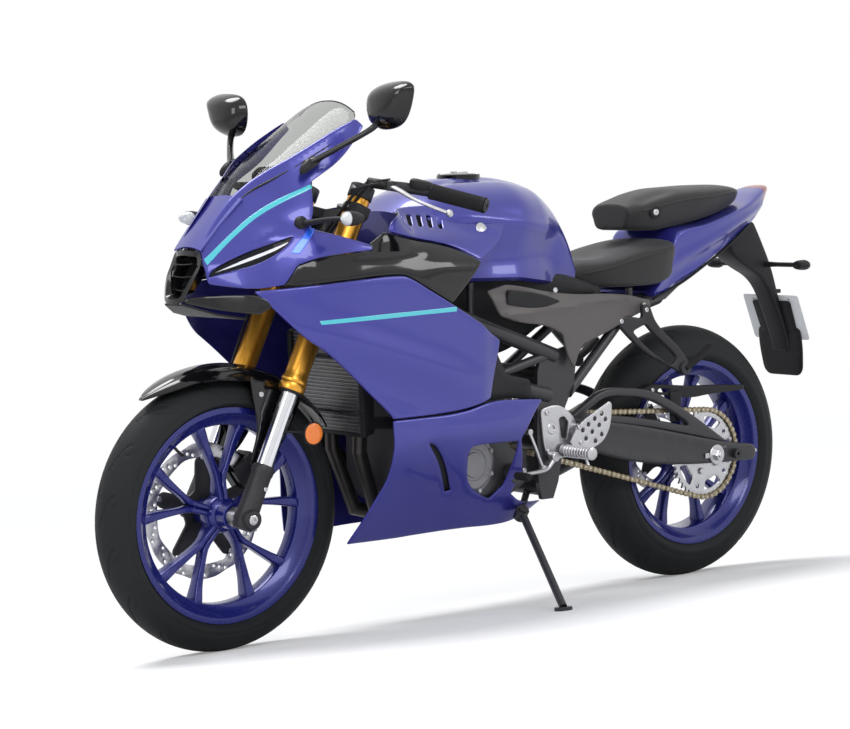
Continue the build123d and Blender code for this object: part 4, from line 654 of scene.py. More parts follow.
def keep_cad(name, bevel=1.2):
    """A CAD node that stays gets rounded edges."""
    ob = NODES[name]
    mod = ob.modifiers.new("edges", "BEVEL")
    mod.width, mod.segments, mod.limit_method = bevel * 0.001, 2, "ANGLE"
    mod.angle_limit = SHARP_ANGLE
    mod.harden_normals = False
    ob.modifiers.new("shade", "NODES").node_group = SOFTENER


# ------------------------------------------------------------------ the fairing's skin
FAIRING = [
    (-160, (80, 246), (150, 320), (195, 450), (196, 780), (174, 848), (140, 910)),
    (0, (105, 207), (150, 300), (212, 450), (213, 780), (190, 852), (163, 915)),
    (150, (115, 212), (160, 300), (226, 450), (228, 780), (203, 852), (143, 918)),
    (300, (118, 212), (168, 300), (233, 450), (235, 780), (209, 860), (136, 922)),
    (400, (118, 212), (171, 300), (235, 450), (235, 780), (212, 890), (140, 1106)),
    (470, (118, 212), (172, 300), (235, 450), (234, 780), (205, 892), (137, 1066)),
    (560, (110, 212), (160, 300), (224, 450), (222, 772), (188, 890), (118, 1020)),
    (640, (92, 212), (140, 300), (200, 450), (188, 765), (166, 862), (72, 972)),
    (700, (60, 212), (105, 300), (160, 450), (142, 758), (122, 832), (52, 918)),
    (758, (40, 212), (50, 300), (80, 450), (66, 752), (70, 800), (44, 850)),
    (792, (16, 212), (20, 300), (30, 450), (34, 750), (38, 778), (26, 802)),
]
SKIN_X = np.array([s[0] for s in FAIRING], float)
SKIN_ROWS = np.array([s[1:] for s in FAIRING], float)


def skin_y(x, z):
    """The fairing's half width at points of its side view."""
    x, z = np.asarray(x, float), np.asarray(z, float)
    ys, zs = monotone(SKIN_X, SKIN_ROWS[:, :, 0], x), monotone(SKIN_X, SKIN_ROWS[:, :, 1], x)
    h = np.diff(zs, axis=1)
    s = np.diff(ys, axis=1) / h
    m = np.zeros_like(ys)
    w1, w2 = 2 * h[:, 1:] + h[:, :-1], h[:, 1:] + 2 * h[:, :-1]
    with np.errstate(divide="ignore", invalid="ignore"):
        mid = (w1 + w2) / (w1 / s[:, :-1] + w2 / s[:, 1:])
    m[:, 1:-1] = np.where(s[:, :-1] * s[:, 1:] > 0, mid, 0)
    m[:, 0], m[:, -1] = s[:, 0], s[:, -1]
    i = np.clip(np.sum(z[:, None] > zs[:, 1:-1], 1), 0, 4)
    k = np.arange(len(z))
    hh = h[k, i]
    t = np.clip((z - zs[k, i]) / hh, -0.3, 1.3)
    return ((2 * t ** 3 - 3 * t ** 2 + 1) * ys[k, i] + (t ** 3 - 2 * t ** 2 + t) * hh * m[k, i]
            + (3 * t ** 2 - 2 * t ** 3) * ys[k, i + 1] + (t ** 3 - t ** 2) * hh * m[k, i + 1])


def skin_panel(outline, holes=(), lift=0.0, wall=4.0, edge=3.5, pitch=11.0, corner=6.0, shape=None):
    """A panel of the fairing's skin; shape(x, z, d) adds to its half width."""
    outer = soften(outline, corner)
    cuts = [soften(h, 4.0) for h in holes]
    extra = shape or (lambda x, z, d: 0 * x)
    base = lambda x, z, d: skin_y(x, z) + lift + extra(x, z, d)
    return upright(fill(outer, cuts, pitch), lambda x, z, d: base(x, z, d) - roll(d, edge),
                   lambda x, z, d: base(x, z, d) - wall - edge * 0.3)


# ------------------------------------------------------------------ fairing panels
SIDE = [(692, 768), (609, 776), (563, 780), (376, 795), (340, 782), (306, 763), (229, 724), (150, 682),
        (117, 660), (81, 640), (90, 600), (103, 560), (116, 513), (210, 491), (398, 489), (411, 505),
        (456, 544), (502, 587), (567, 642), (613, 671), (672, 743)]


def side_form(x, z, d):
    """The side panel stands a little proud, with a soft fold running down and back from its nose."""
    fold = 700 - (650 - x) * 0.30
    ridge = 7 * np.exp(-((z - fold) / 34) ** 2) * step(80, 260, x) * step(690, 560, x)
    hollow = -6 * np.exp(-((z - fold + 75) / 46) ** 2) * step(120, 300, x) * step(600, 480, x)
    tuck = -10 * step(150, 90, x)
    return ridge + hollow + tuck + 1.5


side = Piece("side_fairing_panels").add(skin_panel(SIDE, shape=side_form), BLUE, True)
side.done("chassis", "side_fairings", slot="body_blue")

LOWER_FRONT = [(400, 486), (396, 430), (392, 353), (404, 319), (441, 213)]
LOWER_BOTTOM = [(300, 212), (266, 214), (118, 215), (27, 210), (-43, 212), (-100, 226), (-144, 250)]
LOWER_REAR = [(-48, 258), (-6, 285), (-22, 333), (17, 416), (-13, 464), (-48, 500)]
LOWER_TOP = [(33, 506), (116, 509), (210, 487)]
WINDOW = [(176, 392), (171, 410), (143, 414), (25, 411), (18, 361), (24, 307), (58, 278), (107, 298),
          (153, 332)]
SLIT = [(299, 430), (276, 424), (225, 369), (188, 313), (205, 310), (243, 369)]


def lower_form(x, z, d):
    ridge = 5 * np.exp(-((z - (458 - (x - 100) * 0.04)) / 26) ** 2) * step(-60, 80, x) * step(410, 300, x)
    scoop = -5 * np.exp(-((z - 372 - (x - 240) * 0.9) / 60) ** 2) * step(150, 225, x) * step(370, 290, x)
    return ridge + scoop + 1.0


lower = Piece("lower_fairing_panels")
lower.add(skin_panel(LOWER_FRONT + LOWER_BOTTOM + LOWER_REAR + LOWER_TOP, [WINDOW, SLIT], shape=lower_form),
          BLUE, True)
lower.add(skin_panel([(398, 470), (210, 474), (120, 492), (40, 488), (118, 440), (185, 420), (300, 434)],
                     lift=-9, wall=3, pitch=16), GLOSS, True)
lower.add(skin_panel([(320, 440), (262, 440), (170, 300), (225, 298)], lift=-13, wall=3, pitch=16), SATIN,
          True)
lower.done("chassis", "lower_cowls", slot="body_blue")

LAMP_CUT = [(753, 797), (745, 816), (706, 840), (655, 864), (609, 879), (623, 860), (675, 824), (718, 810)]
COWL = [(395, 1108), (424, 1078), (455, 1046), (484, 1024), (514, 1006), (540, 990), (549, 943), (567, 893),
        (500, 876), (440, 858), (438, 847), (558, 838), (612, 820), (640, 780), (692, 771), (752, 782),
        (756, 800), (757, 826), (752, 852), (737, 880), (711, 918), (663, 972), (600, 1020), (540, 1056),
        (470, 1096), (412, 1124)]


def cowl_form(x, z, d):
    """A sharp brow above the lamp and a soft hollow behind it."""
    brow = 797 + (753 - x) * 0.66
    return (6 * np.exp(-((z - brow - 16) / 9) ** 2) * step(610, 650, x) * step(762, 735, x)
            - 6 * np.exp(-((z - 905) / 22) ** 2) * step(530, 570, x) * step(690, 640, x))


upper = Piece("upper_fairing_panels")
upper.add(skin_panel(COWL, [LAMP_CUT], shape=cowl_form, pitch=9), BLUE, True)
upper.done("chassis", "upper_cowls", slot="body_blue")

# headlamps: a smoked lens over a dark tray with a bright light bar along its upper edge
lamp = Piece("headlamp_units")
lamp.add(skin_panel([(x + (712 - x) * 0.02, z - 1) for x, z in LAMP_CUT], lift=-3, wall=2, edge=2, corner=3,
                    pitch=8),
         SMOKE, True)
lamp.add(skin_panel(LAMP_CUT, lift=-20, wall=6, edge=2, corner=3, pitch=9), SATIN, True)
lamp.add(skin_panel([(743, 806), (705, 829), (655, 853), (620, 868), (626, 862), (672, 838), (716, 818)],
                    lift=-1.2, wall=3, edge=1, corner=2, pitch=9), LAMP, True)
for lx, lz in ((700, 820), (668, 838)):
    lamp.add(turned([(9, 0), (9, 3), (7.5, 5), (3, 6.5), (0.1, 7)],
                    (lx, float(skin_y([lx], [lz])[0]) - 19, lz), (0.55, 0.8, 0.1), 20), LAMP, True)
lamp.done("chassis", "headlamps", slot="lamp_lens")

INFILL = [(438, 846), (558, 838), (612, 820), (640, 779), (609, 778), (563, 782), (376, 797), (340, 785),
          (306, 766), (229, 727), (180, 770), (140, 815), (213, 852), (330, 870), (398, 884), (440, 860)]


def infill_form(x, z, d):
    rib = 6 * np.exp(-((z - (846 - (x - 330) * 0.05)) / 9) ** 2) * step(560, 470, x) * step(240, 330, x)
    return rib - 5 + 7 * step(330, 230, x) * np.exp(-((z - 815) / 30) ** 2)


infill = Piece("side_infill_panels").add(skin_panel(INFILL, shape=infill_form), GLOSS, True)
infill.done("chassis", "side_infills", slot="gloss_black")

# stripes on the paint, each a thin film just proud of its panel
stripe = Piece("body_stripes")
stripe.add(skin_panel([(581, 705), (505, 709), (415, 713), (320, 716), (223, 720), (223, 710), (321, 707),
                       (415, 703), (505, 700), (578, 697)], lift=0.5, wall=1, edge=0.3, corner=1, pitch=14,
                       shape=side_form), CYAN, True)
stripe.add(skin_panel([(753, 822), (717, 862), (658, 917), (601, 952), (542, 978), (543, 986), (601, 961),
                       (658, 926), (717, 871), (754, 834)], lift=0.5, wall=1, edge=0.3, corner=1, pitch=14,
                       shape=cowl_form),
           CYAN, True)
stripe.add(skin_panel([(622, 845), (608, 863), (572, 896), (560, 894), (590, 860), (606, 843)], lift=0.4,
                      wall=1, edge=0.3, corner=1, pitch=12, shape=cowl_form), ACCENT, True)
stripe.done("chassis", slot="body_blue")


# ------------------------------------------------------------------ nose duct
def nose():
    """The intake: a dark frame round a deep opening between the lamps, and its chin lip."""
    piece = Piece("nose_intake")
    rings = []
    for grow, x_in in ((1.0, 0), (0.80, 2), (0.72, -8), (0.66, -34)):
        ring = []
        for y, z, x in ((0, 852, 764), (30, 850, 761), (48, 846, 756), (56, 820, 762), (54, 796, 774),
                        (44, 765, 786), (32, 745, 792), (0, 740, 795)):
            ring.append((x + x_in, y * grow, 798 + (z - 798) * grow))
        ring = np.array(ring)
        rings.append(np.concatenate([ring, (ring * [1, -1, 1])[-2:0:-1]]))
    smooth = []
    for r in rings:
        closed = np.concatenate([r[-1:], r, r[:2]])
        smooth.append(spline(closed, 4)[4:-5])
    verts, faces = loft(smooth, False)
    n = len(smooth[0])
    piece.add((verts, faces + [tuple(range(len(verts) - n, len(verts)))]), GLOSS)
    for z in (770, 798, 824):
        w = 30 if z < 780 else 36
        piece.add(tube([(768, -w, z), (772, 0, z - 2), (768, w, z)], 2.6, 8, flat=0.5), SATIN)
    lip = [(664, 736), (686, 720), (740, 728), (786, 742), (792, 752), (768, 757), (700, 762), (673, 752)]
    piece.add(skin_panel(lip, lift=1.5, wall=5, edge=2.5, pitch=12), GLOSS, True)
    under = [((690, -118), (690, 118), 712), ((740, -84), (740, 84), 722), ((792, -34), (792, 34), 742)]
    piece.add(slab([[(a[0], y, z) for y in np.linspace(a[1], b[1], 9)] for a, b, z in under], [0, 0, -4]),
              SATIN)
    brow = [(757, 50, 852), (735, 54, 878), (711, 56, 906), (663, 68, 958)]
    piece.add(slab([[(x, y * k, z + (1 - k * k) * 7) for k in np.linspace(-1, 1, 13)] for x, y, z in brow],
                   [-2, 0, -3]), BLUE)
    piece.done("chassis", "nose_duct", slot="gloss_black")


nose()


# ------------------------------------------------------------------ windscreen
def screen():
    rows = [(664, 58, 955, 961), (640, 70, 975.4, 985), (600, 95, 1000, 1020), (560, 114, 1023.4, 1050),
            (515, 126, 1050, 1084), (470, 131, 1076, 1116), (430, 129, 1104, 1144), (402, 118, 1128, 1162),
            (392, 100, 1140, 1167)]
    xs = np.array([-r[0] for r in rows], float)
    data = np.array([r[1:] for r in rows], float)
    at = np.linspace(xs[0], xs[-1], 44)
    grid = monotone(xs, data, at)
    outer, inner = [], []
    for x, (half, ez, cz) in zip(-at, grid):
        a = np.linspace(-1, 1, 31)
        z = ez + (cz - ez) * (1 - np.abs(a) ** 2.3)
        outer.append(np.stack([np.full(31, x), half * a, z], 1))
        inner.append(np.stack([np.full(31, x) + 0.8, half * a * 0.985, z - 2.6], 1))
    rings = [np.concatenate([o, i[::-1]]) for o, i in zip(outer, inner)]
    piece = Piece("screen").add(loft(rings), SCREEN_M)
    for k in (0, -1):
        line = np.array([o[k] for o in outer])
        piece.add(tube(line[::4] - [0, 0, 2.0], 2.6, 8), SATIN)
    piece.add(tube(outer[-1][::3] - [0, 0, 1.3], 1.9, 8), SMOKE)
    for x, z in ((610, 1000), (520, 1046)):
        half, edge, crest = (float(np.interp(-x, at, grid[:, k])) for k in range(3))
        y = half - 14
        top = edge + (crest - edge) * (1 - abs(y / half) ** 2.3)
        piece.add(bolt((x, y, top), (0.45, 0.35, 0.83), 4.5, 2.2), SATIN, True)
    piece.done("chassis", "windscreen", slot="smoked_screen")


screen()


# ------------------------------------------------------------------ tank
def sections(rows, count):
    """Rows that begin with x, from front to rear, read at count places: the x of each and its values."""
    xs = np.array([-r[0] for r in rows], float)
    at = np.linspace(xs[0], xs[-1], count)
    return -at, monotone(xs, np.array([r[1:] for r in rows], float), at)


def crowned_rings(rows, count=48, half=26, power=2.0, shape=None):
    """Smooth closed rings through (x, low z, low half width, wide z, half width, top z) rows."""
    rings = []
    for x, (zl, yl, zw, yw, zt) in zip(*sections(rows, count)):
        t = np.linspace(0, 1, half // 2)
        side_y, side_z = yl + (yw - yl) * t, zl + (zw - zl) * t
        side_y = side_y - roll(t * (zw - zl), 8)
        a = np.linspace(0, math.pi / 2, half)[1:]
        y = np.concatenate([[0, yl * 0.55], side_y, yw * np.cos(a) ** (2 / power)])
        z = np.concatenate([[zl, zl], side_z, zw + (zt - zw) * np.sin(a) ** (2 / power)])
        if shape:
            y, z = shape(x, y, z)
        y[0] = y[-1] = 0
        ring = np.stack([np.full(len(y), x), y, z], 1)
        rings.append(np.concatenate([ring, (ring * [1, -1, 1])[-2:0:-1]]))
    return rings


TANK = [(262, 802, 118, 880, 126, 926), (200, 772, 148, 882, 157, 966), (95, 768, 156, 890, 170, 996),
        (-20, 766, 156, 890, 169, 1000), (-110, 757, 136, 875, 147, 989), (-180, 750, 104, 845, 115, 957),
        (-236, 746, 88, 812, 96, 883), (-262, 744, 82, 776, 86, 814)]


def tank_form(x, y, z):
    """Knee hollows, a folded shoulder line above them, and a groove each side of the crown."""
    hollow = 17 * float(step(150, 40, x) * step(-225, -120, x))
    y = y - hollow * np.exp(-((z - 822) / 42) ** 2) * (y > 40)
    crease = 5.5 * float(step(235, 120, x) * step(-215, -120, x))
    line = 905 - 0.12 * (60 - x)
    y = y + crease * np.exp(-((z - line) / 13) ** 2) * (y > 60)
    spine = 5.0 * float(step(220, 150, x) * step(-170, -60, x))
    z = z - spine * np.exp(-((np.abs(y) - 62) / 17) ** 2) * (z > 930)
    return y, z


tank = Piece("fuel_tank_skin").add(loft(crowned_rings(TANK, 72, 34, 2.3, tank_form)), BLUE)
tank.done("chassis", "fuel_tank", slot="body_blue")

cap = Piece("fuel_filler_cap")
cap.add(turned([(50, -8), (50, 3), (48.5, 5), (41, 6.2), (40, 4.6), (38.6, 4.6), (37.6, 6.6), (20, 8.6),
                (0.1, 9)],
               (20, 0, 1001), (0.02, 0, 1), 64), GLOSS)
cap.add(turned([(11, 0), (11, 2.5), (9.6, 3.4), (0.1, 3.4)], (6, 0, 1009), (0.02, 0, 1), 28), ALLOY)
cap.add(turned([(8, 0), (8, 3.6), (6.8, 4.2), (2.4, 4.2), (2.2, 2.4), (0.1, 2.4)], (34, 0, 1008.6),
               (0.02, 0, 1), 28), STEEL)
for i in range(6):
    a = math.radians(30 + 60 * i)
    cap.add(bolt((20 + 44.5 * math.cos(a), 44.5 * math.sin(a), 1006.0), (0.02, 0, 1), 3.0, 2.6), STEEL)
cap.done("chassis", "fuel_cap", slot="cast_alloy_black")

# the panels over the tank's front corners, each with a row of cooling slots and a bare round badge place
SHROUD = [(372, 911), (392, 886), (330, 872), (213, 854), (142, 818), (70, 852), (30, 896), (40, 924),
          (120, 940), (220, 938), (300, 934)]
SLOTS = [[(330 - i * 27, 898 - i * 2.5), (318 - i * 27, 897 - i * 2.5), (300 - i * 27, 918 - i * 1.2),
          (312 - i * 27, 920 - i * 1.2)] for i in range(5)]


def shroud_form(x, z, d):
    return 2.0 + 5 * np.exp(-((z - (900 - (200 - x) * 0.10)) / 10) ** 2) * step(40, 90, x) * step(180, 130, x)


shroud = Piece("tank_side_shrouds")
shroud.add(skin_panel(SHROUD, SLOTS, lift=0, wall=3, pitch=8, corner=8, shape=shroud_form), BLUE, True)
shroud.add(skin_panel([(345, 890), (180, 878), (176, 912), (330, 926)], lift=-11, wall=2, pitch=16), SATIN,
           True)
badge_y = float(skin_y([106], [884])[0]) + 3
shroud.add(turned([(15, -4), (15, 1.5), (13.5, 2.4), (0.1, 2.8)], (106, badge_y, 884), (0.0, 0.93, 0.36), 36),
           ALLOY, True)
shroud.done("chassis", "tank_shrouds", slot="body_blue")


# ------------------------------------------------------------------ seats
PINNED_MM = 12
CLOTH_FRAMES = 16


def inflate(piece, cap_mm, pressure=4.0, voxel=0.0055):
    """Lets a padded form swell under cloth, within a cap, and keeps the result."""
    mod = piece.modifiers.new("remesh", "REMESH")
    mod.mode, mod.voxel_size = "VOXEL", voxel
    held = bpy.data.meshes.new_from_object(piece.evaluated_get(bpy.context.evaluated_depsgraph_get()))
    piece.modifiers.clear()
    work = in_scene("pad_work", held)
    start = np.array([v.co for v in held.vertices])
    m = np.array(ROW)[:3, :3] * 1000
    height = (start @ m)[:, 2]
    low = [int(i) for i in np.nonzero(height < np.percentile(height, 1) + PINNED_MM)[0]]
    work.vertex_groups.new(name="pin").add(low, 1.0, "REPLACE")
    cloth = work.modifiers.new("cloth", "CLOTH")
    cloth.settings.quality = 6
    cloth.settings.mass = 0.25
    cloth.settings.tension_stiffness = cloth.settings.compression_stiffness = 18
    cloth.settings.bending_stiffness = 1.2
    cloth.settings.use_pressure = True
    cloth.settings.uniform_pressure_force = pressure
    cloth.settings.vertex_group_mass = "pin"
    cloth.settings.effector_weights.gravity = 0
    cloth.point_cache.frame_start, cloth.point_cache.frame_end = 1, CLOTH_FRAMES
    scene = bpy.context.scene
    for f in range(1, CLOTH_FRAMES + 1):
        scene.frame_set(f)
    moved = bpy.data.meshes.new_from_object(work.evaluated_get(bpy.context.evaluated_depsgraph_get()))
    shift = np.array([v.co for v in moved.vertices]) - start
    size = np.linalg.norm(shift, axis=1, keepdims=True)
    shift *= np.minimum(1, cap_mm * 0.001 / np.maximum(size, 1e-9))
    held.vertices.foreach_set("co", (start + shift).ravel())
    held.update()
    work.modifiers.clear()
    scene.frame_set(1)
    for p in held.polygons:
        p.use_smooth = True
    held.materials.clear()
    for material in piece.data.materials:
        held.materials.append(material)
    piece.data = held
    bpy.data.objects.remove(work)
    sub = piece.modifiers.new("smooth", "SUBSURF")
    sub.levels = sub.render_levels = 1


RIDER = [(-262, 741, 66, 766, 72, 792), (-280, 738, 78, 768, 84, 802), (-330, 737, 100, 778, 108, 806),
         (-380, 737, 110, 790, 119, 814), (-430, 737, 114, 802, 124, 828), (-480, 738, 115, 812, 127, 838),
         (-520, 740, 112, 818, 126, 845), (-556, 752, 106, 824, 118, 848), (-576, 768, 96, 826, 106, 846)]


def rider_form(x, y, z):
    """A dished middle where the rider sits."""
    dish = 9 * float(step(-560, -480, x) * step(-300, -380, x))
    z = z - dish * np.exp(-(y / 62) ** 2) * (z > 790)
    return y, z


rider = Piece("rider_seat_pad").add(loft(crowned_rings(RIDER, 40, 22, 2.9, rider_form)), VINYL)
rider = rider.done("chassis", "rider_seat", slot="seat_vinyl", smooth=60)
inflate(rider, 6)

PILLION = [(-456, 872, 50, 906, 64, 932), (-490, 868, 66, 914, 84, 946), (-540, 868, 78, 926, 94, 960),
           (-592, 876, 81, 936, 96, 969), (-660, 886, 81, 943, 96, 973), (-720, 897, 76, 948, 91, 976),
           (-780, 910, 64, 954, 80, 977), (-830, 926, 52, 957, 66, 973), (-850, 934, 44, 958, 54, 968)]


def pillion_form(x, y, z):
    """Flats on the front shoulders, one of them for the lock."""
    z = z - 7 * float(step(-470, -500, x) * step(-620, -560,
                                                 x)) * np.exp(-((np.abs(y) - 66) / 20) ** 2) * (z > 925)
    return y, z


pillion = Piece("pillion_seat_pad").add(loft(crowned_rings(PILLION, 44, 22, 2.7, pillion_form)), VINYL)
pillion = pillion.done("chassis", "pillion_seat", slot="seat_vinyl", smooth=60)
inflate(pillion, 5)


def welt_line(rows, proud=2, count=26):
    """The seat's widest line, a little proud of its skin."""
    return np.array([(x, wide + proud, height + proud)
                     for x, (_, _, height, wide, _) in zip(*sections(rows, count))])


welt = Piece("seat_welts")
for rows in (RIDER, PILLION):
    line = welt_line(rows)[2:-2]
    welt.add(tube(line, 1.7, 8, smooth=False), VINYL, True)
    across = [line[-1] * [1, k, 1] + [-9 * (1 - k * k), 0, 5 * (1 - k * k)] for k in np.linspace(-1, 1, 11)]
    welt.add(tube(across, 1.7, 8), VINYL)
welt.done("chassis", slot="seat_vinyl")
lock = Piece("pillion_lock")
lock.add(turned([(15, -12), (15, 1), (13.6, 2.2), (0.1, 2.2)], (-520, 92, 912), (0.25, 0.94, -0.1), 36),
         SATIN)
lock.add(turned([(7.5, 0), (7.5, 3.4), (6.4, 4.2), (2.2, 4.2), (2.0, 2.2), (0.1, 2.2)], (-520, 92.5, 912),
                (0.25, 0.94, -0.1), 28), STEEL)
lock.done("chassis", slot="lever_alloy")

# ------------------------------------------------------------------ tail
TAIL = [(-500, 706, 101, 716, 108, 722), (-540, 716, 99, 760, 110, 775), (-581, 732, 98, 850, 112, 872),
        (-620, 746, 95, 866, 111, 878), (-660, 762, 92, 872, 110, 882), (-760, 806, 78, 898, 103, 904),
        (-850, 846, 58, 922, 88, 930), (-920, 884, 42, 943, 64, 958), (-950, 906, 33, 954, 50, 968)]


def tail_form(x, y, z):
    """A folded line along the side, sharper towards the tip."""
    mid = 800 + (-600 - x) * 0.36
    y = y + 5 * np.exp(-((z - mid) / 12) ** 2) * (y > 30) * float(step(-520, -600, x))
    y = y - 7 * np.exp(-((z - mid + 34) / 20) ** 2) * (y > 30) * float(step(-520, -620, x) * step(-930, -860,
                                                                                                  x))
    return y, z


tail = Piece("tail_cowl_skin").add(loft(crowned_rings(TAIL, 56, 26, 3.2, tail_form)), BLUE)
tail.add(tube([(-500, 104, 704), (-600, 97, 738), (-700, 84, 780), (-800, 67, 824), (-900, 45, 876)], 4.5, 8,
              flat=0.6), SATIN, True)
tail.done("chassis", "tail_cowl", slot="body_blue")

LAMP_ROWS = [(-950, 906, 33, 954, 50, 968), (-962, 916, 29, 957, 44, 972), (-980, 934, 22, 962, 33, 975)]
rear_lamp = Piece("tail_lamp_lens").add(loft(crowned_rings(LAMP_ROWS, 10, 20, 3.0)), RED)
for z in (938, 950, 962):
    rear_lamp.add(tube([(-975 - (z - 938) * 0.15, y, z) for y in (-24, 0, 24)], 1.6, 6), GLOSS)
rear_lamp.done("chassis", "tail_lamp", slot="red_lens")

# ------------------------------------------------------------------ side covers under the seat
SEAT_COVER = [(96, 748), (60, 756), (33, 762), (-146, 729), (-364, 725), (-476, 703), (-476, 683),
              (-400, 664),
         (-300, 634), (-211, 614), (-192, 588), (-178, 560), (-156, 590), (-140, 640), (-86, 664), (-8, 671),
         (60, 690)]
COVER_PLAN = np.array([(-490, 118), (-420, 126), (-300, 152), (-200, 170), (-80, 182), (110, 194)], float)


def cover_y(x):
    return monotone(COVER_PLAN[:, 0], COVER_PLAN[:, 1], x)


def cover_form(x, z, d):
    crease = 6 * np.exp(-((z - (700 - (x + 100) * 0.06)) / 9) ** 2) * step(-470, -380, x) * step(90, 20, x)
    return crease - 4 * np.exp(-((z - 742 + (x < -100) * 10) / 10) ** 2)


cover = Piece("side_cover_panels")
cover.add(upright(fill(soften(SEAT_COVER, 7), (), 10),
                  lambda x, z, d: cover_y(x) + cover_form(x, z, d) - roll(d, 4),
                  lambda x, z, d: cover_y(x) + cover_form(x, z, d) - 6), GREY, True)
INSET = [(40, 748), (-60, 738), (-130, 716), (-60, 700), (44, 716)]
cover.add(upright(fill(soften(INSET, 8), (), 12), lambda x, z, d: cover_y(x) + 4.5 - roll(d, 2.5),
                  lambda x, z, d: cover_y(x) - 3), SATIN, True)
cover.add(bolt((-108, 184, 742), (0.1, 0.98, 0.1), 6, 3), STEEL, True)
cover.add(bolt((-445, 127, 693), (-0.25, 0.96, 0), 6, 3), STEEL, True)
cover.done("chassis", "side_covers", slot="dark_grey_plastic")


# ------------------------------------------------------------------ wheels
BEAD_RADIUS, WALL_RADIUS = 218.3, 233.5
GROOVE_REPEATS = 16
# Each groove: where it starts and ends from the crown (0) to the shoulder (1), how far it leans and bows
# round the tyre in repeats, its half width and depth in mm, and its place in the repeat.
GROOVES = (
    (0.06, 0.40, 0.62, 0.5, 2.3, 3.6, 0.0),
    (0.34, 0.74, 0.46, -0.35, 2.0, 3.2, 0.38),
    (0.60, 0.86, 0.20, 0.0, 1.6, 2.4, 0.72),
)


def tread(centre, radius, width, rim_width, name, body, node_name):
    """A tyre with a round crown, sidewall steps and curved grooves cut in its tread."""
    segs, across = 576, 64
    crown = width / 2
    middle = radius - crown
    bead = rim_width / 2 - 6
    wall = np.linspace(-math.radians(90), math.radians(90), across)
    r0 = middle + crown * np.cos(wall)
    y0 = crown * np.sin(wall)
    low = [(BEAD_RADIUS, -bead), (228, -bead - 1), (231, -rim_width / 2 + 0.5)]
    profile = low + [(r, y) for r, y in zip(r0, y0) if r > WALL_RADIUS] + [(r, -y) for r, y in reversed(low)]
    pr, py = np.array(profile).T
    t, y = np.meshgrid(angles(segs), py, indexing="ij")
    r = np.broadcast_to(pr, t.shape).copy()
    arc = np.arcsin(np.clip(y / crown, -1, 1)) * crown / (crown * math.pi / 2)
    cut = np.zeros_like(r)
    pitch = 2 * math.pi / GROOVE_REPEATS
    for side_sign, phase in ((1, 0.0), (-1, 0.5)):
        s = arc * side_sign
        for start, end, lean, bow, half, depth, off in GROOVES:
            k = np.clip((s - start) / (end - start), 0, 1)
            line = (lean * k + bow * k * (1 - k)) * pitch
            around = ((t - line - (phase + off) * pitch + pitch / 2) % pitch - pitch / 2) * r
            gate = step(start - 0.02, start + 0.02, s) * step(end + 0.02, end - 0.02, s)
            groove = np.clip(1 - np.abs(around) / (half * (1.2 - 0.5 * k)) + 0.45, 0, 1) * gate
            cut = np.maximum(cut, depth * np.clip(groove * 1.4, 0, 1))
    out_r = r - cut * np.clip((r - middle) / crown, 0, 1)
    steps = 1.1 * ((np.abs(y) > crown * 0.965) & (np.abs(y) < crown * 0.982))
    y = y - np.sign(y) * steps
    verts = np.stack([centre[0] + out_r * np.cos(t), y, centre[1] + out_r * np.sin(t)], 2).reshape(-1, 3)
    n = len(profile)
    i, j = np.meshgrid(np.arange(segs), np.arange(n), indexing="ij")
    ahead, beside = (i + 1) % segs, (j + 1) % n
    faces = np.stack([i * n + j, ahead * n + j, ahead * n + beside, i * n + beside], 2).reshape(-1, 4)
    piece = Piece(name).add((verts, [tuple(f) for f in faces.tolist()]), RUBBER)
    piece.done(body, node_name, slot="tyre", smooth=46)


tread(FRONT_AXLE, 292.9, 110.0, 84.0, "front_tyre_tread", "front_wheel", "front_tyre")
tread(REAR_AXLE, 313.9, 140.0, 116.0, "rear_tyre_tread", "rear_wheel", "rear_tyre")


def polar(centre, r, a):
    a = math.radians(a)
    return centre[0] + r * math.cos(a), centre[1] + r * math.sin(a)


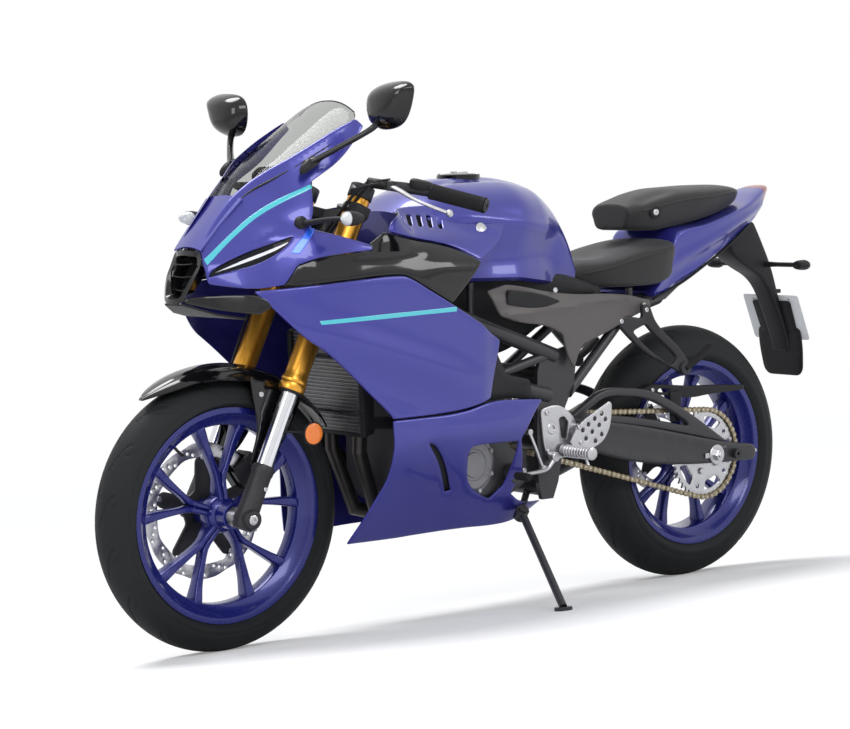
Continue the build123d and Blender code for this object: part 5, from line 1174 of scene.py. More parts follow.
def wheel(centre, width, hub, name, body, node_name):
    half = width / 2
    c3 = at_axle(centre)
    piece = Piece(name)
    outer = [(229, half), (228.4, half - 2.5), (229, half - 5), (219, half - 7), (216, half - 18),
             (197, half - 27)]
    inner = [(190, half - 29), (192, half - 24), (207, half - 14), (212, half - 6), (217, half - 1.2),
             (225, half)]
    section = outer + [(r, -y) for r, y in reversed(outer)] + [(r, -y) for r, y in reversed(inner)] + inner
    piece.add(turned(section, c3, (0, 1, 0), 144, closed=True), WHEEL)
    for i in range(5):
        base = 90 + 72 * i
        for s in (1, -1):
            left = [(30, s * 22), (52, s * 13), (80, s * 9.5), (112, s * 13.2), (152, s * 16.6),
                    (198, s * 19.4)]
            right = [(198, s * 12.6), (152, s * 9.8), (112, s * 6.4), (92, s * 2.2), (84, 0), (30, 0)]
            line = [polar(centre, r, base + a) for r, a in left] + [polar(centre, r, base + a) for r,
                                                                    a in right]
            if s < 0:
                line = line[::-1]
            shape = fill(soften(line, 5, 7, 60), (), 9, (1.2, 3.5, 6.5))

            def spoke(x, z, d):
                reach = np.hypot(x - centre[0], z - centre[1])
                thick = 15 + 8 * step(80, 34, reach) + 5 * step(150, 198, reach)
                return thick - roll(d, 6.5) - 3.0 * step(5.5, 8.5, d) * step(190, 170, reach)
            piece.add(upright(shape, spoke, lambda x, z, d: -spoke(x, z, d)), WHEEL)
    h = hub / 2
    piece.add(turned([(8, -h), (26, -h), (28, -h + 2), (28, -26), (36, -20), (40, -12), (40, 12), (36, 20),
                      (28, 26), (28, h - 2), (26, h), (8, h)], c3, (0, 1, 0), 64, closed=True), WHEEL)
    for s in (1, -1):
        piece.add(turned([(9, 0), (21, 0), (21, 1.2), (9, 1.2)], (c3[0], s * (h - 1), c3[2]), (0, s, 0), 40,
                         closed=True),
                  STEEL)
    valve = [at_axle(polar(centre, r, 54), y) for r, y in ((196, 0), (176, 6), (164, 16))]
    piece.add(tube(valve, 3.4, 10), SATIN)
    piece.done(body, node_name, slot="wheel_blue")


wheel(FRONT_AXLE, 84.0, 118.0, "front_wheel_casting", "front_wheel", "front_wheel_rim")
wheel(REAR_AXLE, 116.0, 150.0, "rear_wheel_casting", "rear_wheel", "rear_wheel_rim")


def disc_rotor(centre, radius, y_low, name, body, node_name, lobes=8):
    """A petal-edged, drilled brake rotor on a dark carrier."""
    a = angles(240)
    wave = radius - 1.5 - 3.2 * (0.5 - 0.5 * np.cos(a * lobes)) ** 3
    outline = np.stack([centre[0] + wave * np.cos(a), centre[1] + wave * np.sin(a)], 1)
    inside_wave = radius - 33 + 3.2 * (0.5 - 0.5 * np.cos(a[::2] * lobes)) ** 2
    hole = np.stack([centre[0] + inside_wave * np.cos(a[::2]), centre[1] + inside_wave * np.sin(a[::2])], 1)
    drills = []
    for k in range(lobes * 2):
        for m, r in enumerate((radius - 10, radius - 18, radius - 25)):
            drills.append(circle(*polar(centre, r, k * 180 / lobes + m * 5.6), 3.4, 10))
    piece = Piece(name)
    piece.add(plate(outline, [hole] + drills, y_low, y_low + 4.5, 0.6, 12), STEEL)
    carrier = []
    for k in range(5):
        base = 18 + 72 * k
        carrier += [polar(centre, r, base + a) for r, a in ((50, -24), (radius - 38, -9), (radius - 31, -5),
                                                            (radius - 31, 5), (radius - 38, 9), (50, 24))]
    piece.add(plate(soften(carrier, 6, 5), [circle(*centre, 20, 40)], y_low - 1.2, y_low + 5.5, 1.6, 12),
              CAST)
    for k in range(5):
        x, z = polar(centre, radius - 33, 18 + 72 * k)
        piece.add(turned([(6, -1.8), (6, 6.4), (4.8, 7.2), (0.1, 7.2)], (x, y_low, z), (0, 1, 0), 20), STEEL)
        x, z = polar(centre, 40, 54 + 72 * k)
        piece.add(bolt((x, y_low - 1, z), (0, -1, 0), 6, 4.5), STEEL)
    piece.done(body, node_name, slot="disc_steel")


disc_rotor(FRONT_AXLE, 149.0, -63.5, "front_rotor", "front_wheel", "front_brake_disc")
disc_rotor(REAR_AXLE, 110.0, -79.5, "rear_rotor", "rear_wheel", "rear_brake_disc", 7)


TEETH, FRONT_TEETH = 43, 14
CHAIN_PITCH = 15.875
CHAIN_Y = 88
OUTPUT_SHAFT = (-45.0, 420.0)


def chain_line():
    """Both pitch radii, and the angles where the chain leaves the sprockets."""
    big = CHAIN_PITCH / 2 / math.sin(math.pi / TEETH)
    small = CHAIN_PITCH / 2 / math.sin(math.pi / FRONT_TEETH)
    dx, dz = OUTPUT_SHAFT[0] - REAR_AXLE[0], OUTPUT_SHAFT[1] - REAR_AXLE[1]
    slope = math.degrees(math.atan2(dz, dx))
    flare = math.degrees(math.asin((big - small) / math.hypot(dx, dz)))
    return big, small, slope + 90 - flare, slope - 90 + flare


def sprocket():
    pitch_radius, _, start, _ = chain_line()
    line = []
    w = 360 / TEETH
    for i in range(TEETH):
        base = start + i * 360 / TEETH
        for f, r in ((-0.20, -5.1), (-0.08, -5.4), (0.08, -5.4), (0.20, -5.1), (0.36, 0.5), (0.46, 4.0),
                     (0.54, 4.0), (0.64, 0.5)):
            line.append(polar(REAR_AXLE, pitch_radius + r, base + f * w))
    holes = []
    for k in range(5):
        base = 72 * k + 36
        arc = [polar(REAR_AXLE, 92, base + a) for a in (-20, -10, 0, 10, 20)]
        arc += [polar(REAR_AXLE, 68, base + a) for a in (16, 0, -16)]
        holes.append(soften(arc, 5, 5))
        holes.append(circle(*polar(REAR_AXLE, 84, 72 * k), 5.5, 14))
    piece = Piece("rear_sprocket_teeth")
    piece.add(plate(np.array(line), holes, 85, 91, 0.8, 12), STEEL)
    piece.add(turned([(9, 74.6), (50, 74.6), (54, 78), (54, 85), (9, 85)], at_axle(REAR_AXLE), (0, 1, 0), 60,
                     closed=True), CAST)
    for k in range(5):
        x, z = polar(REAR_AXLE, 45, 72 * k)
        piece.add(turned([(8.6, 0), (8.6, 5), (7.4, 6), (0.1, 6)], (x, 90.6, z), (0, 1, 0), 6), STEEL)
    piece.done("rear_wheel", "rear_sprocket", slot="disc_steel")


sprocket()


def chain():
    """Every link of the chain: pairs of waisted plates and their rollers."""
    p = CHAIN_PITCH
    big, small, upper, lower = chain_line()
    path = [polar(REAR_AXLE, big, a) for a in np.linspace(upper, upper + 360 - (upper - lower), 60)]
    path += [polar(OUTPUT_SHAFT, small, a) for a in np.linspace(lower, upper, 24)]
    path = np.array(path + [path[0]])
    seg = np.linalg.norm(np.diff(path, axis=0), axis=1)
    run = np.concatenate([[0], np.cumsum(seg)])
    count = int(round(run[-1] / p / 2)) * 2
    at = np.linspace(0, run[-1], count + 1)[:-1]
    pins = np.stack([np.interp(at, run, path[:, 0]), np.interp(at, run, path[:, 1])], 1)
    piece = Piece("chain_links")
    for i in range(count):
        a, b = pins[i], pins[(i + 1) % count]
        u = (b - a) / np.linalg.norm(b - a)
        v = np.array([-u[1], u[0]])
        waist = (a + b) / 2

        def end(c, first, last):
            return [c + 6.4 * (math.cos(k) * u + math.sin(k) * v) for k in np.radians(np.linspace(first, last,
                                                                                                  6))]
        outline = end(a, 90, 270) + [waist - v * 4.2] + end(b, -90, 90) + [waist + v * 4.2]
        wide = i % 2
        for y0 in ((6.3 if wide else 4.4), (-8.2 if wide else -6.3)):
            piece.add(loft([[(q[0], CHAIN_Y + y, q[1]) for q in outline] for y in (y0, y0 + 1.9)]), CHAIN)
        for r, y0, y1, material in ((4.9, 83.4, 92.6, CHAIN), (2.4, 79.2, 96.8, STEEL)):
            piece.add(loft([[(x, y, z) for x, z in circle(a[0], a[1], r, 8)] for y in (y0, y1)]), material)
    teeth = []
    w = 360 / FRONT_TEETH
    for i in range(FRONT_TEETH):
        base = i * w + 6
        for f, r in ((-0.2, -5.1), (0.2, -5.1), (0.42, 3), (0.58, 3)):
            teeth.append(polar(OUTPUT_SHAFT, small + r, base + f * w))
    piece.add(plate(np.array(teeth), [circle(*OUTPUT_SHAFT, 8.2, 20)], 85.4, 90.6, 0.6, 10), STEEL)
    piece.done("chassis", "drive_chain", slot="chain_steel", smooth=40)


chain()


# ------------------------------------------------------------------ fork
UP_FORK = np.array(fork_point(1, 0, 0)) - np.array(fork_point(0, 0, 0))
AHEAD_FORK = np.array(fork_point(0, 1, 0)) - np.array(fork_point(0, 0, 0))


def on_fork(profile, side, material, piece, segs=48, closed=False):
    base = np.array(fork_point(0, 0, 100 * side))
    piece.add(turned(profile, base, UP_FORK, segs, closed), material)


tubes = Piece("fork_outer_tubes")
lowers = Piece("fork_stanchions_and_feet")
for s in (1, -1):
    on_fork([(19, 285), (27, 285), (28.2, 287), (28.2, 300), (27, 303), (28.2, 306), (28.2, 310), (25.4, 318),
             (25, 330), (25, 500), (24.6, 540), (25, 590), (25, 700), (25, 726), (23, 729), (19, 729)], s,
             GOLD, tubes, 56)
    on_fork([(18.8, 280), (24, 280), (25.2, 282), (25.2, 286), (18.8, 286)], s, SATIN, tubes, 40, True)
    on_fork([(17, 728), (17, 738), (15, 741), (9, 741), (9, 738), (0.1, 738)], s, GOLD, tubes, 6)
    on_fork([(7, 738), (7, 744), (5.5, 745), (0.1, 745)], s, SATIN, tubes, 20)
    on_fork([(18.5, 100), (18.5, 297)], s, CHROME, lowers, 40)
    on_fork([(10, -24), (20, -23), (23.5, -18), (24, 0), (23.5, 30), (22.4, 60), (22.4, 96), (24, 100),
             (24, 114), (22.5, 118), (18, 118)], s, CAST, lowers, 40)
    lowers.add(turned([(8, 0), (20, 0), (21, 2), (21, 44), (19, 47), (12, 48), (12, 44), (8, 44)],
                      at_axle(FRONT_AXLE, s * 84), (0, s, 0), 40, closed=True), CAST)
    lowers.add(turned([(12, 59.3), (12, 84)], at_axle(FRONT_AXLE), (0, s, 0), 28), ALLOY)
    lowers.add(turned([(7.5, 60), (7.5, 126), (11, 126), (11, 131), (9.5, 132), (5, 132), (5, 128),
                       (0.1, 128)],
                      at_axle(FRONT_AXLE), (0, s, 0), 24), STEEL)
    for along in (-14, 12):
        lowers.add(bolt(fork_point(along, -20, 100 * s + s * 14), -AHEAD_FORK, 4.2, 5), STEEL)
    lowers.add(bolt(fork_point(70, -8, 100 * s + s * 20), (0, s, 0), 5, 4), STEEL)
tubes.done("steering", "fork_tubes", slot="fork_gold")
lowers.add(turned([(7.5, -60), (7.5, 60)], at_axle(FRONT_AXLE), (0, 1, 0), 20), STEEL)
lowers.done("steering", "fork_lowers", slot="fork_dark")

keep_cad("yokes", 2.5)
keep_cad("front_caliper", 3.0)
keep_cad("rear_caliper", 2.5)
trim = Piece("front_end_fasteners")
for s in (1, -1):
    for along in (528, 544):
        trim.add(bolt(fork_point(along, -28, 100 * s + s * 18), -AHEAD_FORK, 4.6, 5), STEEL)
    trim.add(bolt(fork_point(701, 26, 100 * s + s * 6), AHEAD_FORK, 4.6, 5), STEEL)
trim.add(turned([(15, 0), (15, 7), (13, 9), (5, 9), (5, 5), (0.1, 5)], fork_point(722, -37.7, 0), UP_FORK, 6),
         STEEL)
for a, r in ((140, 128), (150, 128), (145, 148)):
    x, z = polar(FRONT_AXLE, r, a)
    trim.add(bolt((x, -93, z), (0, -1, 0), 5.5, 4), STEEL)
trim.done("steering", slot="lever_alloy")

reflect = Piece("fork_reflector_discs")
for s in (1, -1):
    hub = np.array(fork_point(217, -64, 134 * s))
    out = np.array([0, s, 0])
    reflect.add(turned([(25, 0), (25, 6), (24, 7), (22.6, 7), (22.6, 5.8), (0.1, 5.8)], hub, out, 48), SATIN)
    reflect.add(turned([(22.2, 5), (22.2, 7.0), (21, 7.8), (10, 8), (0.1, 8)], hub, out, 48), AMBER)
    root = np.array(fork_point(196, -4, 112 * s))
    reflect.add(tube([root, (root + hub) / 2 + [0, s * 3, 2], hub + [2, 0, 0]], 5.5, 10, flat=0.5), SATIN)
reflect.done("steering", "fork_reflectors", slot="amber_lens")


# ------------------------------------------------------------------ front mudguard
def mudguard():
    reach = np.linspace(53.5, 146.5, 64)
    width = monotone([53.5, 56, 61, 70, 84, 120, 138, 146.5], [5, 18, 37, 56, 65, 66, 58, 44], reach)
    drop = monotone([53.5, 58, 66, 80, 96, 122, 134, 146.5], [2, 8, 16, 24, 33, 33, 22, 13], reach)
    crown = monotone([53.5, 60, 75, 92, 110, 130, 146.5], [319, 319.5, 320, 320, 319.5, 320, 320], reach)
    s = np.linspace(-1, 1, 25)
    outer, inner = [], []
    for a, w, d, c in zip(np.radians(reach), width, drop, crown):
        r = c - d * np.abs(s) ** 2.8 - 1.5 * np.exp(-((np.abs(s) - 0.45) / 0.1) ** 2)
        outer.append(np.stack([FRONT_AXLE[0] + r * np.cos(a), w * s, FRONT_AXLE[1] + r * np.sin(a)], 1))
        r = r - 3
        inner.append(np.stack([FRONT_AXLE[0] + r * np.cos(a), w * s * 0.965, FRONT_AXLE[1] + r * np.sin(a)],
                              1))
    piece = Piece("front_mudguard")
    piece.add(loft([np.concatenate([o, i[::-1]]) for o, i in zip(outer, inner)]), GLOSS)
    leg = [polar(FRONT_AXLE, 296, a) for a in (97, 106, 116, 125)]
    leg += [polar(FRONT_AXLE, r, a) for r,
            a in ((230, 128), (170, 129), (120, 124), (110, 116), (118, 107), (190, 108),
                                                (240, 101))]
    piece.add(plate(soften(leg, 12, 7, 40), [circle(*polar(FRONT_AXLE, 232, 114), 8, 16)], 66.5, 72, 2.0, 12),
              GLOSS, True)
    for r, a in ((150, 117), (262, 104), (262, 121)):
        x, z = polar(FRONT_AXLE, r, a)
        piece.add(bolt((x, 72, z), (0, 1, 0), 6, 3.5), STEEL, True)
    piece.done("steering", "front_fender", slot="gloss_black")


mudguard()


# ------------------------------------------------------------------ bars, controls and cockpit
DASH_LEAN = 40
DASH_CENTRE = (520, 0, 985)


def controls():
    bars, levers = Piece("clip_on_bars"), Piece("hand_levers")
    start, grip, end = np.array([362, 116, 988.0]), np.array([296, 240, 968.0]), np.array([230, 345, 936.0])
    along = (end - grip) / np.linalg.norm(end - grip)
    length = np.linalg.norm(end - grip)
    base = np.array(fork_point(729, 0, 100))
    bars.add(turned([(18, 0), (26, 0), (27, 1.5), (27, 27.5), (26, 29), (18, 29)], base, UP_FORK, 44,
                    closed=True), CAST, True)
    bars.add(tube([np.array(fork_point(744, -12, 104)), start * 0.6 + base * 0.4 + [0, 0, 4], start], 8.5,
                  14), CAST, True)
    bars.add(bolt(fork_point(744, 26, 106), AHEAD_FORK, 5, 6), STEEL, True)
    bars.add(tube([start - (grip - start) * 0.04, grip + (end - grip) * 0.1], 11, 20, smooth=False), CAST,
             True)
    ribs = [(11, -2), (17, -1), (17.4, 2), (17.4, 6), (16.2, 7)]
    for k in range(26):
        h = 8 + k * (length - 20) / 26
        ribs += [(16.2, h), (16.9, h + 0.8), (16.9, h + 2.2), (16.2, h + 2.9)]
    ribs += [(16.4, length - 9), (17.4, length - 8), (17.2, length - 5), (11, length - 5)]
    bars.add(turned(ribs, grip, along, 32), GRIP, True)
    bars.add(turned([(9, length - 6), (12, length - 5), (15, length - 4), (15.5, length - 2), (13.5, length),
                     (6, length), (5.5, length - 3), (0.1, length - 3)], grip, along, 32), CAST, True)
    mid = start + (grip - start) * 0.82
    rings = []
    up = np.array([0.1, 0.0, 1.0])
    side = np.cross(along, up)
    side /= np.linalg.norm(side)
    up = np.cross(side, along)
    for h, k in ((-24, 0.74), (-21, 0.92), (-10, 1.0), (12, 1.02), (21, 0.96), (24, 0.8)):
        a = angles(28)
        c, q = np.cos(a), np.sin(a)
        sx = np.sign(c) * np.abs(c) ** 0.6 * 12 * k
        sz = np.sign(q) * np.abs(q) ** 0.6 * 12.5 * k
        rings.append(mid + along * h + sx[:, None] * side + (sz[:, None] + 9) * up)
    bars.add(loft(rings), SATIN, True)
    for h, dz, r, m in ((-8, 21, 4.6, CAST), (6, 21, 4.6, RED), (0, 10, 5.5, GREY)):
        bars.add(turned([(r, 0), (r, 5), (r - 1, 6), (0.1, 6)], mid + along * h + up * dz * 0.55 - side * 6,
                        up - side * 0.4, 18),
                 m, True)
    bars.done("steering", "handlebars", slot="cast_alloy_black")

    pivot, knee, tip = np.array([366, 190, 981.0]), np.array([352, 262, 950.0]), np.array([322, 332, 922.0])
    line = [pivot, pivot * 0.55 + knee * 0.45 + [4, 0, 2], knee + [2, 0, 0], (knee + tip) / 2 + [3, 4, -1],
            tip]
    levers.add(tube(line, [8.5, 7.5, 6.2, 5.6, 5.6], 14, flat=0.62), ALLOY, True)
    levers.add(turned([(0.1, -8), (5, -7), (7.6, -3.4), (8, 0), (7.6, 3.4), (5, 7), (0.1, 8)], tip,
                      (0.2, 0.9, -0.35), 24),
               ALLOY, True)
    levers.add(tube([(318, 198, 975), (340, 196, 979), pivot - [2, 2, 0]], [11, 10, 10], 18), CAST, True)
    levers.add(turned([(11, -9), (12, -8), (12, 8), (11, 9)], pivot, (0, 0, 1), 28), CAST, True)
    levers.add(turned([(4.6, 8), (4.6, 11.5), (3.8, 12), (0.1, 12)], pivot, (0, 0, 1), 6), STEEL, True)
    # front brake reservoir on its arm, on the right only, and the clutch cable's adjuster on the left
    levers.add(turned([(17, 0), (19, 1), (19, 24), (20, 25), (20, 31), (18.6, 32.5), (0.1, 32.5)],
                      (372, -176, 996), (0.1, 0, 1), 36), SATIN)
    levers.add(tube([(366, -190, 986), (370, -182, 994), (372, -176, 1000)], 6, 12), CAST)
    levers.add(turned([(6.5, 0), (6.5, 12), (4.5, 14), (4.5, 20), (0.1, 20)], (372, 184, 982),
                      (0.75, -0.62, 0.2), 10), SATIN)
    levers.done("steering", "levers", slot="lever_alloy")

    lines = Piece("control_cables")
    for s in (1, -1):
        lines.add(tube([(384, s * 172, 986), (410, s * 138, 974), (432, s * 98, 924), (438, s * 56, 886),
                        (436, s * 26, 852)], 3.3, 10), SATIN)
        lines.add(tube([(352, s * 172, 994), (384, s * 140, 984), (408, s * 108, 938), (428, s * 66, 890),
                        (430, s * 34, 846)], 3.6, 10), SATIN)
    hose = [(376, -182, 982), (402, -150, 978)] + [fork_point(a, f, y) for a, f, y in (
        (704, 32, -118), (640, 20, -120), (536, 26, -118), (470, 27, -114), (390, 26, -115), (310, 14, -124),
        (250, -4, -129.6), (190, -6, -129.6))]
    hose += [(590, -112, 400), (580, -100, 392)]
    lines.add(tube(hose, 3.4, 10), SATIN)
    for a in (236, 204):
        lines.add(turned([(4.8, -4), (4.8, 4)], fork_point(a, -5, -129.6), UP_FORK, 14), STEEL)
    lines.done("steering", slot="satin_black_plastic")

    dash = Piece("instrument_cluster")
    lean = math.radians(DASH_LEAN)
    out = np.array([-math.cos(lean), 0, math.sin(lean)])
    up = np.array([math.sin(lean), 0, math.cos(lean)])
    centre = np.array(DASH_CENTRE, float)

    def level(height):
        """A surface of the cluster, height(d) above its middle plane."""
        return lambda x, z, d: (centre + x[:, None] * np.array([0, 1.0, 0]) + z[:, None] * up
                                + height(d)[:, None] * out)

    shape = soften([(-72, -34), (-50, -46), (50, -46), (72, -34), (74, 20), (52, 45), (-52, 45), (-74, 20)],
                   14, 6, 20)
    dash.add(sheet(fill(shape, (), 12), level(lambda d: 12 - roll(d, 6)), level(lambda d: -12 + roll(d, 6))),
             SATIN)
    glass = soften([(-58, -30), (58, -30), (60, 16), (44, 34), (-44, 34), (-60, 16)], 9, 6, 20)
    dash.add(sheet(fill(glass, (), 14, (0.4, 1.2)), level(lambda d: 13.2 - roll(d, 1.2)),
                   level(lambda d: 10.0 + 0 * d)),
             GLOSS)
    for k in range(5):
        dash.add(turned([(2.6, 0), (2.6, 1.2), (0.1, 1.6)],
                        centre + out * 12.8 + up * 39 + [0, -30 + 15 * k, 0], out, 14),
                 (LAMP, AMBER, ACCENT, RED, LAMP)[k])
    dash.done("chassis", "instrument_panel", slot="satin_black_plastic")


controls()


# ------------------------------------------------------------------ mirrors and front signals
def oval(x, y, z, half_y, half_z, count, bow=0.0):
    """A ring of points standing across the bike; bow leans its outer side forwards."""
    a = angles(count)
    return np.stack([x + bow * np.cos(a), y + half_y * np.cos(a), z + half_z * np.sin(a)], 1)


def mirrors():
    piece = Piece("mirror_pair")
    head = [(226, 1140), (230, 1172), (258, 1190), (330, 1195), (363, 1189), (371, 1174), (352, 1122),
            (322, 1099), (262, 1094), (236, 1108)]
    shape = fill(soften(head, 12, 6, 60), (), 8, (0.8, 2.5, 6, 11))
    mid = np.array([300, 1148.0])
    back = lambda y, z, d: np.stack([440 + 0.6 * roll(d, 3), y, z], 1)

    def front(y, z, d):
        """The shell's rounded back, drawn in towards its middle away from the rim."""
        depth = 34 * (1 - np.exp(-d / 11)) + 5 * np.exp(-((y - 300) / 46) ** 2) * np.minimum(d / 20, 1)
        inwards = 1 - 0.10 * step(0, 30, d)
        return np.stack([444 + depth, mid[0] + (y - mid[0]) * inwards, mid[1] + (z - mid[1]) * inwards], 1)

    piece.add(sheet(shape, front, back), GLOSS, True)
    glass = soften([(mid[0] + (y - mid[0]) * 0.90, mid[1] + (z - mid[1]) * 0.88) for y, z in head], 10, 6, 60)
    piece.add(facing(fill(glass, (), 12, (0.5, 1.5)), lambda y, z, d: 438.4 + roll(d, 1.5),
                     lambda y, z, d: 441), MIRROR, True)
    stem = [(545, 142, 1030), (535, 160, 1038), (508, 202, 1062), (478, 244, 1088), (462, 262, 1104),
            (458, 272, 1122)]
    piece.add(tube(stem, [11, 8.5, 7.5, 7.5, 8.5, 11], 18, flat=0.8), GLOSS, True)
    foot = np.array([545, 148, 1026.0])
    rings = []
    ahead, side, up = np.array([0.86, 0.05, -0.5]), np.array([0, 1.0, 0.1]), np.array([0.5, -0.1, 0.86])
    for h, k in ((-6, 1.0), (0, 1.0), (5, 0.9), (9, 0.7), (12, 0.45)):
        a = angles(32)
        rings.append(foot + up * h + np.cos(a)[:, None] * ahead * 31 * k + np.sin(a)[:,
                                                                                     None] * side * 13.5 * k)
    piece.add(loft(rings), SATIN, True)
    for dx in (-18, 18):
        piece.add(bolt(foot + ahead * dx + up * 5, up, 4, 3), STEEL, True)
    piece.done("chassis", "mirrors", slot="gloss_black", smooth=40)

    sig = Piece("front_turn_signals")
    root, tip = np.array([578, 173, 905.0]), np.array([550, 300, 915.0])
    sig.add(tube([root, root * 0.5 + tip * 0.5 + [0, 0, 3], tip - [0, 20, 0]], [9, 6.5, 6.5], 16, flat=0.8),
            SATIN, True)
    sig.add(turned([(16, 0), (16, 8), (12, 14), (8, 16)], (583, 160, 904), (-0.2, 0.97, 0.1), 28), SATIN,
            True)
    body = ((-27, 5, 4), (-24, 12, 9), (-14, 19, 13), (0, 22, 15.5), (10, 22, 15.5))
    lens = ((8, 21.2, 14.8), (14, 20.6, 14.2), (20, 17.5, 12), (25, 11, 8), (27, 4, 3))
    for form, material in ((body, SATIN), (lens, CLEAR)):
        rings = [oval(tip[0] + x, tip[1] - 4, tip[2], w, h, 36, 5 * (x > -20)) for x, w, h in form]
        sig.add(loft(rings), material, True)
    sig.done("chassis", "front_indicators", slot="amber_lens")


mirrors()


# ------------------------------------------------------------------ rear mudguard, plate and signals
def rear_end():
    piece = Piece("rear_plate_carrier")
    arm = [(-834, 842), (-834, 864), (-880, 876), (-930, 884), (-962, 838), (-1004, 768), (-1030, 690),
           (-1078, 574), (-1082, 540), (-1066, 540), (-1054, 590), (-1004, 690), (-966, 738), (-905, 766),
           (-850, 800)]
    shape = fill(soften(arm, 10, 8, 50), (), 14, (1.5, 5, 9))
    half = lambda x, z, d: 30 - roll(d, 9) + 6 * step(-1000, -900, x)
    piece.add(upright(shape, half, lambda x, z, d: -half(x, z, d)), SATIN)
    flap = soften([(-70, 606), (70, 606), (74, 560), (66, 496), (52, 480), (-52, 480), (-66, 496),
                   (-74, 560)], 12, 7, 30)
    at = lambda z, k: -1064 + (z - 600) * 0.155 + k
    piece.add(facing(fill(flap, (), 14, (0.6, 2)), lambda y, z, d: at(z, -3) + roll(d, 2),
                     lambda y, z, d: at(z, 3) - roll(d, 2)), SATIN)
    for z in (596, 588):
        piece.add(tube([(at(z, -4), -60, z), (at(z, -4), 60, z)], 1.6, 8, smooth=False), SATIN)
    piece.add(turned([(16, 0), (16, 5), (14.5, 6), (0.1, 6.4)], (-1073, 0, 545), (-1, 0, 0.16), 36), RED)
    hold = soften([(-60, 586), (60, 586), (64, 676), (-64, 676)], 8, 8)
    slope = lambda z, k: -1026 - (692 - z) * 49 / 118 + k
    piece.add(facing(fill(hold, [circle(0, 630, 18, 24)], 14, (0.6, 2)), lambda y, z, d: slope(z, -0.4),
                     lambda y, z, d: slope(z, 5) - roll(d, 2)), SATIN)
    # plate lamp over the blank plate
    lamp_ring = [[(x, y, z) for y, z in ((-26, 706), (26, 706), (26, 696),
                                         (-26, 696))] for x in (-1012, -1034, -1040)]
    piece.add(loft(lamp_ring), SATIN)
    piece.done("chassis", "rear_fender", slot="satin_black_plastic")

    plate_piece = Piece("blank_number_plate")
    face = soften([(-94, 575), (94, 575), (94, 691), (-94, 691)], 8, 8)
    plate_piece.add(facing(fill(face, [circle(s * 60, 681, 3.2, 12) for s in (1, -1)], 16, (0.4, 3, 5)),
                           lambda y, z, d: slope(z, -2.0) - 0.8 * step(2.5, 4.5, d) * step(7.5, 5.5, d),
                           lambda y, z, d: slope(z, -0.7)), PLATE)
    for s in (1, -1):
        plate_piece.add(turned([(6, 0), (6, 2), (4.6, 3.4), (0.1, 3.8)], (slope(681, -2.4), s * 60, 681),
                               (-1, 0, 0.41), 20), STEEL)
    plate_piece.done("chassis", "number_plate", slot="plate_white")

    sig = Piece("rear_turn_signals")
    sig.add(tube([(-976, 20, 772), (-980, 70, 772), (-982, 128, 772)], [8, 6, 6], 14), SATIN, True)
    body = ((-960, 4, 4), (-963, 14, 10), (-975, 20, 12.5), (-990, 21, 13))
    lens = ((-989, 20.4, 12.4), (-995, 19.6, 11.8), (-1001, 14, 8.5), (-1004, 4, 3))
    for form, material in ((body, SATIN), (lens, CLEAR)):
        sig.add(loft([oval(x, 148, 772, w, h, 32) for x, w, h in form]), material, True)
    sig.done("chassis", "rear_indicators", slot="amber_lens")


rear_end()


# ------------------------------------------------------------------ swingarm and chain guard
def tab(x, z, y):
    """A small block standing on a side, from its spans along x, z and y."""
    return loft([[(x[0], at, z[1]), (x[0], at, z[0]), (x[1], at, z[0]), (x[1], at, z[1])] for at in y])


ARM_PIVOT = (-120, 424)


